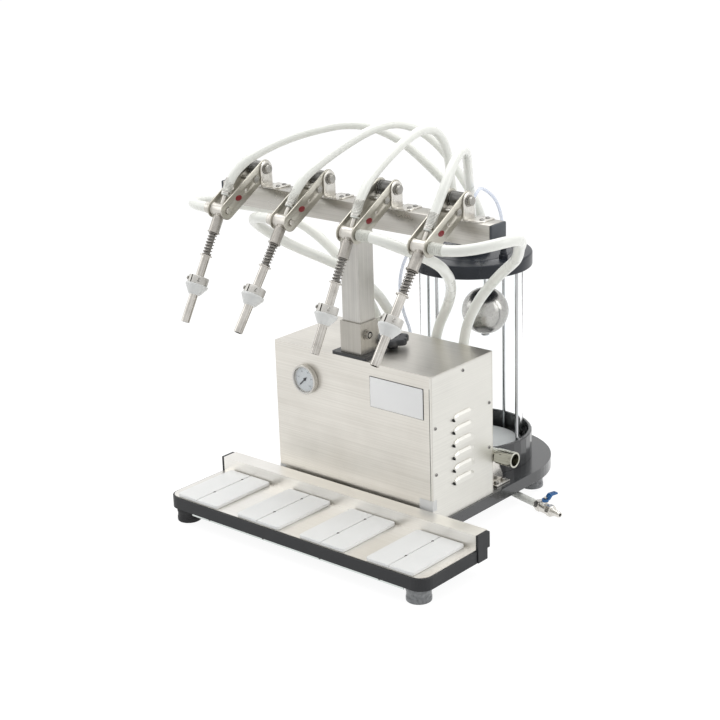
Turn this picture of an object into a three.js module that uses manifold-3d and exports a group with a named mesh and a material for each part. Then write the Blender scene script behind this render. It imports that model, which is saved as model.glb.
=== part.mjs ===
// Vacuum filling machine for bottles: four sprung spouts on a height-adjustable beam,
// a bottle tray, a pump case and an overflow jar with a float. Millimetres, +Z up.
// The layout is drawn from the middle of the tray (x), its front edge (y) and the floor (z).
import * as THREE from 'three';
import { mergeVertices } from 'three/addons/utils/BufferGeometryUtils.js';
import Module from 'manifold-3d';

const wasm = await Module();
wasm.setup();

// General clearances
const clearance = 0.3; // between pieces that touch
const sink = 0.5; // how far solids of one piece run into each other
const overrun = 2; // how far a cutter passes the face that it cuts

// Where the four filling places stand, in shares of their spacing
const placeShares = [-1.5, -0.5, 0.5, 1.5];

// Feet and plates
const footRadius = 22;
const footHeight = 27;
const footBevel = 2;
const footBoreRadius = 8;
const footBoreDepth = 12;
const frontFootX = 270.5;
const frontFootInset = 25;
const rearFootOffsetX = 115.9;
const rearFootOffsetY = 31.1;
const plateThickness = 22;

// Bottle tray
const trayWidth = 600;
const trayDepth = 172;
const trayRearY = 172;
const trayCornerRadius = 25;
const panSheet = 1.2;
const panFrontInset = 3;
const railRearInset = 26;
const railDepth = 32.5;
const railHeight = 27.6;
const railSheet = 1.5;
const railHemLift = 3;
const cheekThickness = 5;
const cheekProud = 2;
const cheekHookDrop = 2.6;
const cheekRound = 4;

// Bottle rests
const restSpacing = 150;
const restWidth = 102;
const restThickness = 6;
const restFrontInset = 0.6;
const restRearGap = 2.4;
const restCornerRadius = 6;
const restBevel = 0.8;
const restSlitWidth = 2.4;
const restSlitDepth = 4;

// Base plate and jar place
const baseLeftX = -187;
const jarX = 28.7;
const jarY = 494.5;
const basePlateRadius = 150;
const taperBehindCase = 4;
const drainBlockX = 70;
const drainBlockY = 475;
const drainBlockSize = 26;
const drainBlockDrop = 22;
const drainBarbRadius = 4.5;
const drainBarbLength = 14;
const drainHeading = THREE.MathUtils.degToRad(-14.6);

// Pump case
const caseLeftX = -186.3;
const caseWidth = 361.5;
const caseFrontY = 185.4;
const caseDepth = 175.5;
const caseHeight = 271.5;
const caseSheet = 1.5;
const louvreCount = 6;
const louvreFrontInset = 58.6;
const louvreLength = 61;
const louvrePitch = 23.7;
const louvreFirstLift = 55.2;
const louvreHeight = 13;
const louvreProud = 5;
const louvreWall = 1.2;
const airPortX = -35;
const airPortDrop = 46;
const airPortRadius = 4;
const airPortLength = 6;

// Vacuum gauge
const gaugeX = -110;
const gaugeDrop = 59.8;
const gaugeRadius = 27.5;
const gaugeProud = 10;
const gaugeBezel = 3.5;
const gaugeDialLift = 5;
const gaugeChamfer = 1.5;
const gaugeStubRadius = 22;
const gaugeStubDepth = 20;
const needlePinRadius = 1.2;
const needlePinLift = 2.4;
const needleLift = 0.5;
const needleThickness = 0.8;
const needleHubRadius = 3.2;
const needleLength = 17;
const needleTail = 6;
const needleWidth = 2;
const needleRestAngle = THREE.MathUtils.degToRad(225);

// Vacuum pump inside the case
const pumpMotorRadius = 38;
const pumpMotorLength = 140;
const pumpX = -62;
const pumpRearGap = 16;
const pumpLift = 8;
const pumpHeadLength = 52;
const pumpHeadWidth = 62;
const pumpHeadHeight = 104;
const pumpFootThickness = 6;
const pumpFootWidth = 70;
const pumpPortRadius = 5;
const pumpPortLength = 22;

// Mast
const mastX = -8.5;
const mastY = 216.5;
const mastSection = 40;
const mastWall = 2;
const mastBelowCaseTop = 90;
const mastTopZ = 558.5;
const mastHoleMargin = 2.5;
const flangeWidth = 79;
const flangeDepth = 61;
const flangeThickness = 5;
const flangeCorner = 3;
const socketWall = 3.2;
const socketHeight = 57;
const clampLift = 35;
const clampOffsetY = -7.5;
const clampHeadRadius = 8;
const clampHeadLength = 6;
const clampWasherRadius = 10;
const clampWasher = 2.2;

// Regulator knob on the case top
const knobX = 18;
const knobY = 275;
const knobRadius = 31;
const knobLobes = 6;
const knobLobeDepth = 5;
const knobThickness = 12;
const knobLift = 9;
const knobHubRadius = 10;
const knobStemRadius = 5;
const knobStemDepth = 16;
const knobBevel = 1.5;

// Beam and its brackets
const beamLength = 610;
const beamSection = 40;
const beamWall = 2;
const beamCap = 5;
const headSpacing = 150;
const bracketSheet = 2.5;
const bracketReach = 49;
const earRadius = 14.5;
const footFrontInset = 0.5;
const footRearInset = 1.5;
const bracketCorner = 13;

// Arm pivots
const pivotY = 204.5;
const pivotRise = 33;
const pivotBoltRadius = 4;
const pivotHexRadius = 8.6;
const pivotHexLength = 6;
const pivotWasherRadius = 10;
const pivotWasher = 1.6;
const spoolFlangeRadius = 12.6;
const spoolFlange = 1.2;
const torsionWire = 2.8;
const torsionTurns = 5;

// Arms
const armLength = 114;
const armSlope = THREE.MathUtils.degToRad(30.3);
const armRadius = 16;
const armSheet = 2.5;
const armGap = 30;
const armEarPlay = 0.5;
const armPinFromPivot = 29;
const armPinRadius = 4;
const armPinHeadRadius = 6.5;
const armPinHead = 3;
const armHoleRadius = 3;
const armHoleFromBarrel = 55;

// Heads: barrel, collar and inner tube. One tilt for each head, from the vertical.
const headTilts = [29.6, 36.4, 28.3, 36.8].map(THREE.MathUtils.degToRad);
const fillSides = [-1, -1, 1, 1];
const barrelRadius = 12;
const trunnionRadius = 5;
const trunnionButton = 2.5;
const fillStub = 0.7;
const vacuumTubeRadius = 4.5;
const vacuumTubeTop = 26;
const collarRadius = 9.5;
const collarEnd = 41;
const springRingRadius = 11;
const springRing = 2;
const innerTubeRadius = 5.25;
const innerTubeShort = 8;

// Sprung spouts: sleeve, clamp collar, stopper cone and tip, which slide on the inner tube
const sleeveTop = 84.3;
const sleeveRadius = 7.5;
const clampTop = 124;
const clampRadius = 18;
const clampHeight = 14;
const clampSlot = 3;
const coneTopRadius = 20;
const coneRim = 4;
const coneEnd = 157;
const coneEndRadius = 10;
const tipEnd = 207;
const springWire = 2;
const springRadius = 7.3;
const springTurns = 8;

// Jar
const jarBaseRadius = 113.4;
const jarBaseHeight = 52.7;
const jarBaseWall = 6;
const jarBaseFloor = 12;
const jarBevel = 2;
const glassRadius = 96;
const glassWall = 4;
const lidRadius = 113.8;
const lidUnderZ = 426.8;
const lidThickness = 25.7;
const bossRadius = 37;
const bossHeight = 14;
const lidBarbCircle = 22;
const lidBarbRadius = 5;
const lidBarbLength = 13;
const elbowOffsetX = 83.1;
const elbowOffsetY = -12;
const elbowHexRadius = 9;
const elbowHexHeight = 8;
const elbowRadius = 5.5;
const elbowHeight = 21;
const tieRodRadius = 3;
const tieRodCircle = 103.5;
const tieRing = 3;
const floatX = 60;
const floatY = 496;
const floatZ = 341;
const floatRadius = 44;
const floatWall = 1.2;
const floatStemRadius = 2.5;
const floatStopRadius = 8;
const floatStop = 3;

// Product manifold behind the case
const pipeRightX = 214.6;
const pipeLeftX = -120;
const pipeY = 374.4;
const pipeZ = 118;
const pipeRadius = 12.8;
const pipeWall = 1.6;
const mouthRadius = 14.5;
const mouthLength = 38;
const pipeBarbX = [-95, -55, 34, 99];
const pipeBarbRadius = 6.2;
const pipeBarbRise = 12;
const saddleX = [-108, 150];
const saddleSheet = 3;
const saddleRadius = 22;
const saddleRearY = 425;
const saddleFootWidth = 17;
const saddleFootFrontY = 385;
const saddleBoltY = [393.5, 414.8];
const saddleBoltRadius = 5;
const saddleBoltHeight = 5;

// Drain valve on the floor
const valveX = 217.6;
const valveY = 437.5;
const valveZ = 11.6;
const valveBore = 3;
const valveRing = 4;
const valveRingRadius = 9;
const valveHex = 10;
const valveHexRadius = 11.4;
const valveBody = 20;
const valveBodyRadius = 10;
const valveNeck = 3;
const valveNeckRadius = 8;
const valveRidge = 6;
const valveRidges = 3;
const valveRidgeRadius = 6;
const valveTailRadius = 4.6;
const valveStemRadius = 5;
const valveStemRise = 13;
const leverHubRadius = 6.5;
const leverHub = 5;
const leverLength = 26;
const leverWidth = 11;
const leverSheet = 3;
const leverRise = 7;
const leverPinRadius = 2;
const leverPinRise = 4;

// Hoses
const vacuumHoseRadius = 8;
const fillingHoseRadius = 9.3;
const airTubeRadius = 3;
const drainHoseRadius = 6.8;

// Heights and places that follow from the sizes above
const trayFrontY = trayRearY - trayDepth;
const railFrontY = trayRearY - railRearInset;
const panFrontY = trayFrontY + panFrontInset;
const restFrontY = panFrontY + restFrontInset;
const restRearY = railFrontY - restRearGap;
const plateTopZ = footHeight + plateThickness;
const panTopZ = plateTopZ + clearance + panSheet;
const seatZ = plateTopZ + clearance;
const cheekInnerX = trayWidth / 2 + cheekProud - cheekThickness;
const panHalfWidth = cheekInnerX - clearance;
const railRearY = railFrontY + railDepth;
const railTopZ = plateTopZ + railHeight;
const caseRightX = caseLeftX + caseWidth;
const caseRearY = caseFrontY + caseDepth;
const caseTopZ = seatZ + caseHeight;
const beamTopZ = mastTopZ + beamSection;
const beamHalf = beamLength / 2;
const earInnerX = armGap / 2 + armSheet + armEarPlay;
const earOuterX = earInnerX + bracketSheet;
const pivotZ = beamTopZ + pivotRise;
const barrelY = pivotY - armLength * Math.cos(armSlope);
const barrelZ = pivotZ - armLength * Math.sin(armSlope);
const headXs = placeShares.map((share) => share * headSpacing);
const restXs = placeShares.map((share) => share * restSpacing);
const saddleFrontY = caseRearY + clearance;
const jarFloorZ = seatZ + jarBaseFloor + clearance;
const lidTopZ = lidUnderZ + lidThickness;
const bossTopZ = lidTopZ + bossHeight;

// Directions and matrices
const axisX = new THREE.Vector3(1, 0, 0);
const axisY = new THREE.Vector3(0, 1, 0);
const axisZ = new THREE.Vector3(0, 0, 1);
const alongX = new THREE.Matrix4().makeBasis(axisY, axisZ, axisX);

const point = (x, y, z) => new THREE.Vector3(x, y, z);

// Geometry to a solid that can be joined and cut
function solid(geometry) {
  const bare = geometry.clone();
  bare.deleteAttribute('normal');
  bare.deleteAttribute('uv');
  const merged = mergeVertices(bare);
  const index = merged.index.array;
  const triangles = [];
  for (let k = 0; k < index.length; k += 3) {
    const [a, b, c] = index.subarray(k, k + 3);
    if (a !== b && b !== c && c !== a) triangles.push(a, b, c);
  }
  const vertProperties = merged.attributes.position.array;
  return new wasm.Manifold(new wasm.Mesh({ numProp: 3, vertProperties, triVerts: Uint32Array.from(triangles) }));
}

function surface(body) {
  const { vertProperties, triVerts } = body.getMesh();
  const geometry = new THREE.BufferGeometry();
  geometry.setAttribute('position', new THREE.BufferAttribute(Float32Array.from(vertProperties), 3));
  geometry.setIndex(Array.from(triVerts));
  geometry.computeVertexNormals();
  return geometry;
}

const join = (first, ...others) => others.reduce((body, other) => body.add(other), first);
const cut = (body, ...cutters) => cutters.reduce((rest, cutter) => rest.subtract(cutter), body);

function block(x0, x1, y0, y1, z0, z1) {
  const box = new THREE.BoxGeometry(x1 - x0, y1 - y0, z1 - z0);
  return solid(box.translate((x0 + x1) / 2, (y0 + y1) / 2, (z0 + z1) / 2));
}

// An outline in x and y, thick along z
function slab(shape, z0, z1, bevel = 0) {
  const geometry = new THREE.ExtrudeGeometry(shape, {
    depth: z1 - z0 - 2 * bevel,
    curveSegments: 3,
    bevelEnabled: bevel > 0,
    bevelThickness: bevel,
    bevelSize: bevel,
    bevelOffset: -bevel,
    bevelSegments: 1,
  });
  return solid(geometry.translate(0, 0, z0 + bevel));
}

// An outline in y and z, thick along x
function sheetAcross(shape, x0, x1) {
  const geometry = new THREE.ExtrudeGeometry(shape, { depth: x1 - x0, curveSegments: 4, bevelEnabled: false });
  return solid(geometry.applyMatrix4(alongX).translate(x0, 0, 0));
}

// A profile of [radius, height] pairs, turned about z
function turned(profile, segments) {
  const points = profile.map(([radius, height]) => new THREE.Vector2(radius, height));
  return new THREE.LatheGeometry(points, segments).rotateX(Math.PI / 2);
}

// A round or hexagonal bar between two points
function bar(radius, from, to, sides = 10) {
  const line = to.clone().sub(from);
  const geometry = new THREE.CylinderGeometry(radius, radius, line.length(), sides);
  const turn = new THREE.Quaternion().setFromUnitVectors(axisY, line.normalize());
  const middle = from.clone().add(to).multiplyScalar(0.5);
  return solid(geometry.applyQuaternion(turn).translate(middle.x, middle.y, middle.z));
}

function disc(x, y, radius) {
  const shape = new THREE.Shape();
  shape.absarc(x, y, radius, 0, 2 * Math.PI, false);
  return shape;
}

function roundedRectangle(x0, x1, y0, y1, radius) {
  const shape = new THREE.Shape();
  shape.moveTo(x0 + radius, y0);
  shape.lineTo(x1 - radius, y0);
  shape.absarc(x1 - radius, y0 + radius, radius, -Math.PI / 2, 0, false);
  shape.lineTo(x1, y1 - radius);
  shape.absarc(x1 - radius, y1 - radius, radius, 0, Math.PI / 2, false);
  shape.lineTo(x0 + radius, y1);
  shape.absarc(x0 + radius, y1 - radius, radius, Math.PI / 2, Math.PI, false);
  shape.lineTo(x0, y0 + radius);
  shape.absarc(x0 + radius, y0 + radius, radius, Math.PI, 1.5 * Math.PI, false);
  return shape;
}

function outline(points) {
  return new THREE.Shape(points.map(([x, y]) => new THREE.Vector2(x, y)));
}

// Finishes
const finish = (color, roughness, metalness) => new THREE.MeshStandardMaterial({ color, roughness, metalness });
const steel = () => finish(0xc4bfb4, 0.32, 0.9);
const darkSteel = () => finish(0x6c6a66, 0.38, 0.9);
const nickel = () => finish(0xb4b0a6, 0.3, 0.9);
const blackPlastic = () => finish(0x1d2026, 0.4, 0);
const glossBlack = () => finish(0x22262e, 0.18, 0);
const whitePlastic = () => finish(0xf1f2ef, 0.5, 0);
const blackRubber = () => finish(0x1f2023, 0.8, 0);
const greyRubber = () => finish(0x85878a, 0.6, 0);
const bluePlastic = () => finish(0x1b6fb5, 0.35, 0);
const milkyHose = () => finish(0xeceddf, 0.35, 0);
const clearTube = () => finish(0xdbe3f2, 0.2, 0);
const clearWall = () => finish(0xe6ecee, 0.05, 0);

// The machine's group stands on the floor, over the middle of its own plan outline
const machine = new THREE.Group();

function add(parent, name, body, material) {
  const mesh = new THREE.Mesh(surface(body), material);
  mesh.name = name;
  parent.add(mesh);
}

// Feet: rubber pads with a screw hole from below
function foot() {
  const top = footHeight - clearance;
  return solid(turned([
    [0, footBoreDepth],
    [footBoreRadius, footBoreDepth],
    [footBoreRadius, 0],
    [footRadius - footBevel, 0],
    [footRadius, footBevel],
    [footRadius, top - footBevel],
    [footRadius - footBevel, top],
    [0, top],
  ], 12));
}

const feet = [
  ['foot_front_left', -frontFootX, trayFrontY + frontFootInset, blackRubber()],
  ['foot_front_right', frontFootX, trayFrontY + frontFootInset, greyRubber()],
  ['foot_rear_left', jarX - rearFootOffsetX, jarY + rearFootOffsetY, blackRubber()],
  ['foot_rear_right', jarX + rearFootOffsetX, jarY + rearFootOffsetY, greyRubber()],
];
for (const [name, x, y, material] of feet) {
  const place = new THREE.Group();
  place.position.set(x, y, 0);
  machine.add(place);
  add(place, name, foot(), material);
}

// Tray frame: a black plate with a cheek at each rear corner that hooks over the rail's end
function trayPlateOutline(halfWidth, front, rear, radius) {
  const shape = new THREE.Shape();
  shape.moveTo(-halfWidth, rear);
  shape.lineTo(-halfWidth, front + radius);
  shape.absarc(-halfWidth + radius, front + radius, radius, Math.PI, 1.5 * Math.PI, false);
  shape.lineTo(halfWidth - radius, front);
  shape.absarc(halfWidth - radius, front + radius, radius, 1.5 * Math.PI, 2 * Math.PI, false);
  shape.lineTo(halfWidth, rear);
  return shape;
}

function cheekOutline() {
  const shape = new THREE.Shape();
  shape.moveTo(railFrontY, footHeight);
  shape.lineTo(trayRearY, footHeight);
  shape.lineTo(trayRearY, plateTopZ - cheekHookDrop);
  shape.lineTo(railRearY, plateTopZ - cheekHookDrop);
  shape.lineTo(railRearY, railTopZ - cheekRound);
  shape.absarc(railRearY - cheekRound, railTopZ - cheekRound, cheekRound, 0, Math.PI / 2, false);
  shape.lineTo(railFrontY, railTopZ);
  return shape;
}

function trayFrame() {
  const plate = slab(
    trayPlateOutline(trayWidth / 2, trayFrontY, trayRearY, trayCornerRadius),
    footHeight,
    plateTopZ,
  );
  const right = sheetAcross(cheekOutline(), cheekInnerX, cheekInnerX + cheekThickness);
  const left = sheetAcross(cheekOutline(), -cheekInnerX - cheekThickness, -cheekInnerX);
  return join(plate, right, left);
}
add(machine, 'tray_frame', trayFrame(), blackPlastic());

// Tray pan: one bent sheet that covers the plate and rises into a box rail at the rear
function trayPan() {
  const corner = trayCornerRadius - panFrontInset;
  const floor = slab(
    trayPlateOutline(panHalfWidth, panFrontY, railFrontY + railSheet, corner),
    plateTopZ + clearance,
    panTopZ,
  );
  const rail = sheetAcross(outline([
    [railFrontY, plateTopZ + clearance],
    [railFrontY + railSheet, plateTopZ + clearance],
    [railFrontY + railSheet, railTopZ - railSheet],
    [railRearY - railSheet, railTopZ - railSheet],
    [railRearY - railSheet, plateTopZ + railHemLift],
    [railRearY, plateTopZ + railHemLift],
    [railRearY, railTopZ],
    [railFrontY, railTopZ],
  ]), -panHalfWidth, panHalfWidth);
  return join(floor, rail);
}
add(machine, 'tray_pan', trayPan(), steel());

// Bottle rests: white slabs, each with a slit down its middle
function bottleRest() {
  const bottom = panTopZ + clearance;
  const top = bottom + restThickness;
  const half = restWidth / 2;
  const shape = roundedRectangle(-half, half, restFrontY, restRearY, restCornerRadius);
  const slitTop = top + overrun;
  const slit = block(
    -restSlitWidth / 2,
    restSlitWidth / 2,
    restFrontY - overrun,
    restRearY + overrun,
    top - restSlitDepth,
    slitTop,
  );
  return cut(slab(shape, bottom, top, restBevel), slit);
}
restXs.forEach((x, k) => {
  const place = new THREE.Group();
  place.position.x = x;
  machine.add(place);
  add(place, `bottle_rest_${k + 1}`, bottleRest(), whitePlastic());
});

// Base plate: meets the tray, runs under the case and ends round the jar
function basePlateOutline() {
  const taperY = caseRearY + taperBehindCase;
  const toTaper = new THREE.Vector2(baseLeftX - jarX, taperY - jarY);
  const heading = Math.atan2(toTaper.y, toTaper.x) + 2 * Math.PI;
  const tangent = heading - Math.acos(basePlateRadius / toTaper.length());
  const shape = new THREE.Shape();
  shape.moveTo(baseLeftX, trayRearY + clearance);
  shape.lineTo(jarX + basePlateRadius, trayRearY + clearance);
  shape.lineTo(jarX + basePlateRadius, jarY);
  shape.absarc(jarX, jarY, basePlateRadius, 0, tangent, false);
  shape.lineTo(baseLeftX, taperY);
  return shape;
}

const drainAlong = point(Math.cos(drainHeading), Math.sin(drainHeading), 0);

function basePlate() {
  const geometry = new THREE.ExtrudeGeometry(basePlateOutline(), {
    depth: plateThickness,
    curveSegments: 16,
    bevelEnabled: false,
  });
  const plate = solid(geometry.translate(0, 0, footHeight));
  const half = drainBlockSize / 2;
  const drainBlock = block(
    drainBlockX - half,
    drainBlockX + half,
    drainBlockY - half,
    drainBlockY + half,
    footHeight - drainBlockDrop,
    footHeight + sink,
  );
  const middle = point(drainBlockX, drainBlockY, footHeight - drainBlockDrop / 2);
  const barbEnd = middle.clone().addScaledVector(drainAlong, half + drainBarbLength);
  return join(plate, drainBlock, bar(drainBarbRadius, middle, barbEnd, 8));
}
add(machine, 'base_plate', basePlate(), blackPlastic());

// Pump case: a bent cover for front, top and rear, and a panel at each side
function caseCover() {
  const shell = cut(
    block(caseLeftX, caseRightX, caseFrontY, caseRearY, seatZ, caseTopZ),
    block(
      caseLeftX - overrun,
      caseRightX + overrun,
      caseFrontY + caseSheet,
      caseRearY - caseSheet,
      seatZ - overrun,
      caseTopZ - caseSheet,
    ),
  );
  const hole = mastSection / 2 + mastHoleMargin;
  const mastHole = block(
    mastX - hole,
    mastX + hole,
    mastY - hole,
    mastY + hole,
    caseTopZ - caseSheet - overrun,
    caseTopZ + overrun,
  );
  const stemHole = bar(
    knobStemRadius + clearance,
    point(knobX, knobY, caseTopZ - caseSheet - overrun),
    point(knobX, knobY, caseTopZ + overrun),
  );
  const gaugeHole = bar(
    gaugeStubRadius + clearance,
    point(gaugeX, caseFrontY - overrun, caseTopZ - gaugeDrop),
    point(gaugeX, caseFrontY + caseSheet + overrun, caseTopZ - gaugeDrop),
    20,
  );
  const airPort = bar(
    airPortRadius,
    point(airPortX, caseRearY - caseSheet, caseTopZ - airPortDrop),
    point(airPortX, caseRearY + airPortLength, caseTopZ - airPortDrop),
    12,
  );
  return join(cut(shell, mastHole, stemHole, gaugeHole), airPort);
}
add(machine, 'case_cover', caseCover(), steel());

function sidePanel(x0) {
  const margin = caseSheet + clearance;
  return block(x0, x0 + caseSheet, caseFrontY + margin, caseRearY - margin, seatZ, caseTopZ - margin);
}

// A louvre is a pressed hood, closed above and at its ends and open below
function louvreForm(radius, proud, length, z) {
  const form = new THREE.CapsuleGeometry(radius, length - 2 * radius, 2, 10);
  form.scale(proud / radius, 1, 1);
  form.translate(caseRightX, caseFrontY + louvreFrontInset + louvreLength / 2, z);
  return solid(form);
}

function louvredPanel() {
  let panel = sidePanel(caseRightX - caseSheet);
  for (let k = 0; k < louvreCount; k += 1) {
    const z = seatZ + louvreFirstLift + k * louvrePitch;
    const front = caseFrontY + louvreFrontInset - overrun;
    const rear = front + louvreLength + 2 * overrun;
    const above = z + louvreHeight + overrun;
    const outside = block(caseRightX - sink, caseRightX + louvreProud + overrun, front, rear, z, above);
    const upper = block(caseRightX - louvreProud - overrun, caseRightX + louvreProud, front, rear, z, above);
    const hood = louvreForm(louvreHeight, louvreProud, louvreLength, z).intersect(outside);
    const inner = louvreForm(louvreHeight - louvreWall, louvreProud - louvreWall, louvreLength - 2 * louvreWall, z);
    panel = cut(join(panel, hood), inner.intersect(upper));
  }
  return panel;
}
add(machine, 'case_side_right', louvredPanel(), steel());
add(machine, 'case_side_left', sidePanel(caseLeftX), steel());

// Vacuum gauge: drawn facing up, then turned to face the front
const gauge = new THREE.Group();
gauge.position.set(gaugeX, caseFrontY - clearance, caseTopZ - gaugeDrop);
gauge.rotation.x = Math.PI / 2;
machine.add(gauge);

function gaugeHousing() {
  const body = solid(turned([
    [0, -gaugeStubDepth],
    [gaugeStubRadius, -gaugeStubDepth],
    [gaugeStubRadius, 0],
    [gaugeRadius, 0],
    [gaugeRadius, gaugeProud - gaugeChamfer],
    [gaugeRadius - gaugeChamfer, gaugeProud],
    [gaugeRadius - gaugeBezel, gaugeProud],
    [gaugeRadius - gaugeBezel, gaugeDialLift],
    [0, gaugeDialLift],
  ], 20));
  const pin = bar(needlePinRadius, point(0, 0, 0), point(0, 0, gaugeDialLift + needlePinLift), 8);
  return join(body, pin);
}
add(gauge, 'gauge_housing', gaugeHousing(), steel());

function gaugeNeedle() {
  const bottom = gaugeDialLift + needleLift;
  const top = bottom + needleThickness;
  const half = needleWidth / 2;
  const hand = slab(outline([
    [-needleTail, -half],
    [needleLength - needleWidth, -half],
    [needleLength, 0],
    [needleLength - needleWidth, half],
    [-needleTail, half],
  ]), bottom, top);
  const hub = slab(disc(0, 0, needleHubRadius), bottom, top);
  const bore = slab(disc(0, 0, needlePinRadius + clearance), bottom - overrun, top + overrun);
  return cut(join(hand, hub), bore);
}
const needleTurn = new THREE.Group();
needleTurn.rotation.z = needleRestAngle;
gauge.add(needleTurn);
add(needleTurn, 'gauge_needle', gaugeNeedle(), blackPlastic());

// Vacuum pump: a motor with a pump head, on a foot plate inside the case
function vacuumPump() {
  const y = caseRearY - caseSheet - pumpRearGap - pumpMotorRadius;
  const footTop = seatZ + pumpFootThickness;
  const z = footTop + pumpLift + pumpMotorRadius;
  const motorEnd = pumpX + pumpMotorLength;
  const headEnd = motorEnd + pumpHeadLength;
  const motor = bar(pumpMotorRadius, point(pumpX, y, z), point(motorEnd + sink, y, z), 16);
  const head = block(
    motorEnd,
    headEnd,
    y - pumpHeadWidth / 2,
    y + pumpHeadWidth / 2,
    footTop - sink,
    footTop + pumpHeadHeight,
  );
  const footPlate = block(pumpX, headEnd, y - pumpFootWidth / 2, y + pumpFootWidth / 2, seatZ, footTop);
  const cradle = block(pumpX, motorEnd, y - pumpHeadWidth / 4, y + pumpHeadWidth / 4, footTop - sink, z);
  const portX = motorEnd + pumpHeadLength / 2;
  const portFoot = footTop + pumpHeadHeight - sink;
  const port = bar(pumpPortRadius, point(portX, y, portFoot), point(portX, y, portFoot + pumpPortLength), 8);
  return join(footPlate, cradle, motor, head, port);
}
add(machine, 'vacuum_pump', vacuumPump(), darkSteel());

// Mast: a flange and a socket on the case, and a square post that slides in them
function squareTube(outer, inner, z0, z1) {
  return cut(
    block(mastX - outer / 2, mastX + outer / 2, mastY - outer / 2, mastY + outer / 2, z0, z1),
    block(mastX - inner / 2, mastX + inner / 2, mastY - inner / 2, mastY + inner / 2, z0 - overrun, z1 + overrun),
  );
}

const socketBore = mastSection + 2 * clearance;
const socketOuter = socketBore + 2 * socketWall;
const flangeZ = caseTopZ + clearance;
const socketZ = flangeZ + flangeThickness + clearance;

function mastFlange() {
  const shape = roundedRectangle(
    mastX - flangeWidth / 2,
    mastX + flangeWidth / 2,
    mastY - flangeDepth / 2,
    mastY + flangeDepth / 2,
    flangeCorner,
  );
  const half = socketBore / 2;
  const hole = block(
    mastX - half,
    mastX + half,
    mastY - half,
    mastY + half,
    flangeZ - overrun,
    flangeZ + flangeThickness + overrun,
  );
  return cut(slab(shape, flangeZ, flangeZ + flangeThickness), hole);
}
add(machine, 'mast_flange', mastFlange(), blackPlastic());

function mastSocket() {
  const tube = squareTube(socketOuter, socketBore, socketZ, socketZ + socketHeight);
  const y = mastY + clampOffsetY;
  const z = socketZ + clampLift;
  const face = mastX + socketOuter / 2;
  const washer = bar(clampWasherRadius, point(face - sink, y, z), point(face + clampWasher, y, z), 12);
  const hexStart = face + clampWasher - sink;
  const head = bar(clampHeadRadius, point(hexStart, y, z), point(hexStart + clampHeadLength, y, z), 6);
  return join(tube, washer, head);
}
add(machine, 'mast_socket', mastSocket(), steel());

function mastPost() {
  return squareTube(mastSection, mastSection - 2 * mastWall, caseTopZ - mastBelowCaseTop, mastTopZ - clearance);
}
add(machine, 'mast_post', mastPost(), steel());

// Regulator knob: a lobed hand knob on a stem that goes down into the case
function vacuumKnob() {
  const shape = new THREE.Shape();
  const steps = knobLobes * 6;
  for (let k = 0; k < steps; k += 1) {
    const turn = (k / steps) * 2 * Math.PI;
    const radius = knobRadius - (knobLobeDepth * (1 - Math.cos(knobLobes * turn))) / 2;
    shape[k ? 'lineTo' : 'moveTo'](knobX + radius * Math.cos(turn), knobY + radius * Math.sin(turn));
  }
  const bottom = caseTopZ + knobLift;
  const grip = slab(shape, bottom, bottom + knobThickness, knobBevel);
  const hubFoot = caseTopZ + clearance;
  const hub = bar(knobHubRadius, point(knobX, knobY, hubFoot), point(knobX, knobY, bottom + sink), 12);
  const stem = bar(knobStemRadius, point(knobX, knobY, hubFoot - knobStemDepth), point(knobX, knobY, bottom), 10);
  return join(grip, hub, stem);
}
add(machine, 'vacuum_knob', vacuumKnob(), blackPlastic());

// Beam: a square tube with capped ends, a weld opening over the post, and two ears for each arm
function ear(side) {
  const shape = new THREE.Shape();
  shape.moveTo(pivotY - earRadius, beamTopZ - sink);
  shape.lineTo(pivotY + earRadius, beamTopZ - sink);
  shape.lineTo(pivotY + earRadius, pivotZ);
  shape.absarc(pivotY, pivotZ, earRadius, 0, Math.PI, false);
  const inner = side > 0 ? earInnerX : -earOuterX;
  const plate = sheetAcross(shape, inner, inner + bracketSheet);
  const hole = bar(
    pivotBoltRadius + clearance,
    point(inner - overrun, pivotY, pivotZ),
    point(inner + bracketSheet + overrun, pivotY, pivotZ),
  );
  return cut(plate, hole);
}

function bracketFoot(side) {
  const front = mastY - beamSection / 2 + footFrontInset;
  const rear = mastY + beamSection / 2 - footRearInset;
  const shape = new THREE.Shape();
  shape.moveTo(side * earInnerX, rear);
  shape.lineTo(side * earInnerX, front);
  shape.lineTo(side * (bracketReach - bracketCorner), front);
  shape.quadraticCurveTo(side * bracketReach, front, side * bracketReach, front + bracketCorner);
  shape.lineTo(side * bracketReach, rear);
  return slab(shape, beamTopZ - sink, beamTopZ + bracketSheet);
}

function beam() {
  const left = mastX - beamHalf;
  const right = mastX + beamHalf;
  const front = mastY - beamSection / 2;
  const rear = mastY + beamSection / 2;
  const weldHalf = mastSection / 2 - mastWall;
  let body = cut(
    block(left, right, front, rear, mastTopZ, beamTopZ),
    block(
      left + beamCap,
      right - beamCap,
      front + beamWall,
      rear - beamWall,
      mastTopZ + beamWall,
      beamTopZ - beamWall,
    ),
    block(
      mastX - weldHalf,
      mastX + weldHalf,
      mastY - weldHalf,
      mastY + weldHalf,
      mastTopZ - overrun,
      mastTopZ + beamWall + overrun,
    ),
  );
  for (const x of headXs) {
    for (const side of [-1, 1]) {
      body = join(body, join(ear(side), bracketFoot(side)).translate([x, 0, 0]));
    }
  }
  return body;
}
add(machine, 'beam', beam(), steel());

// Springs are wire tubes with four sides, wound about z, with straight ends along z
const wireSides = 4;
const stepsPerTurn = 8;

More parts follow.
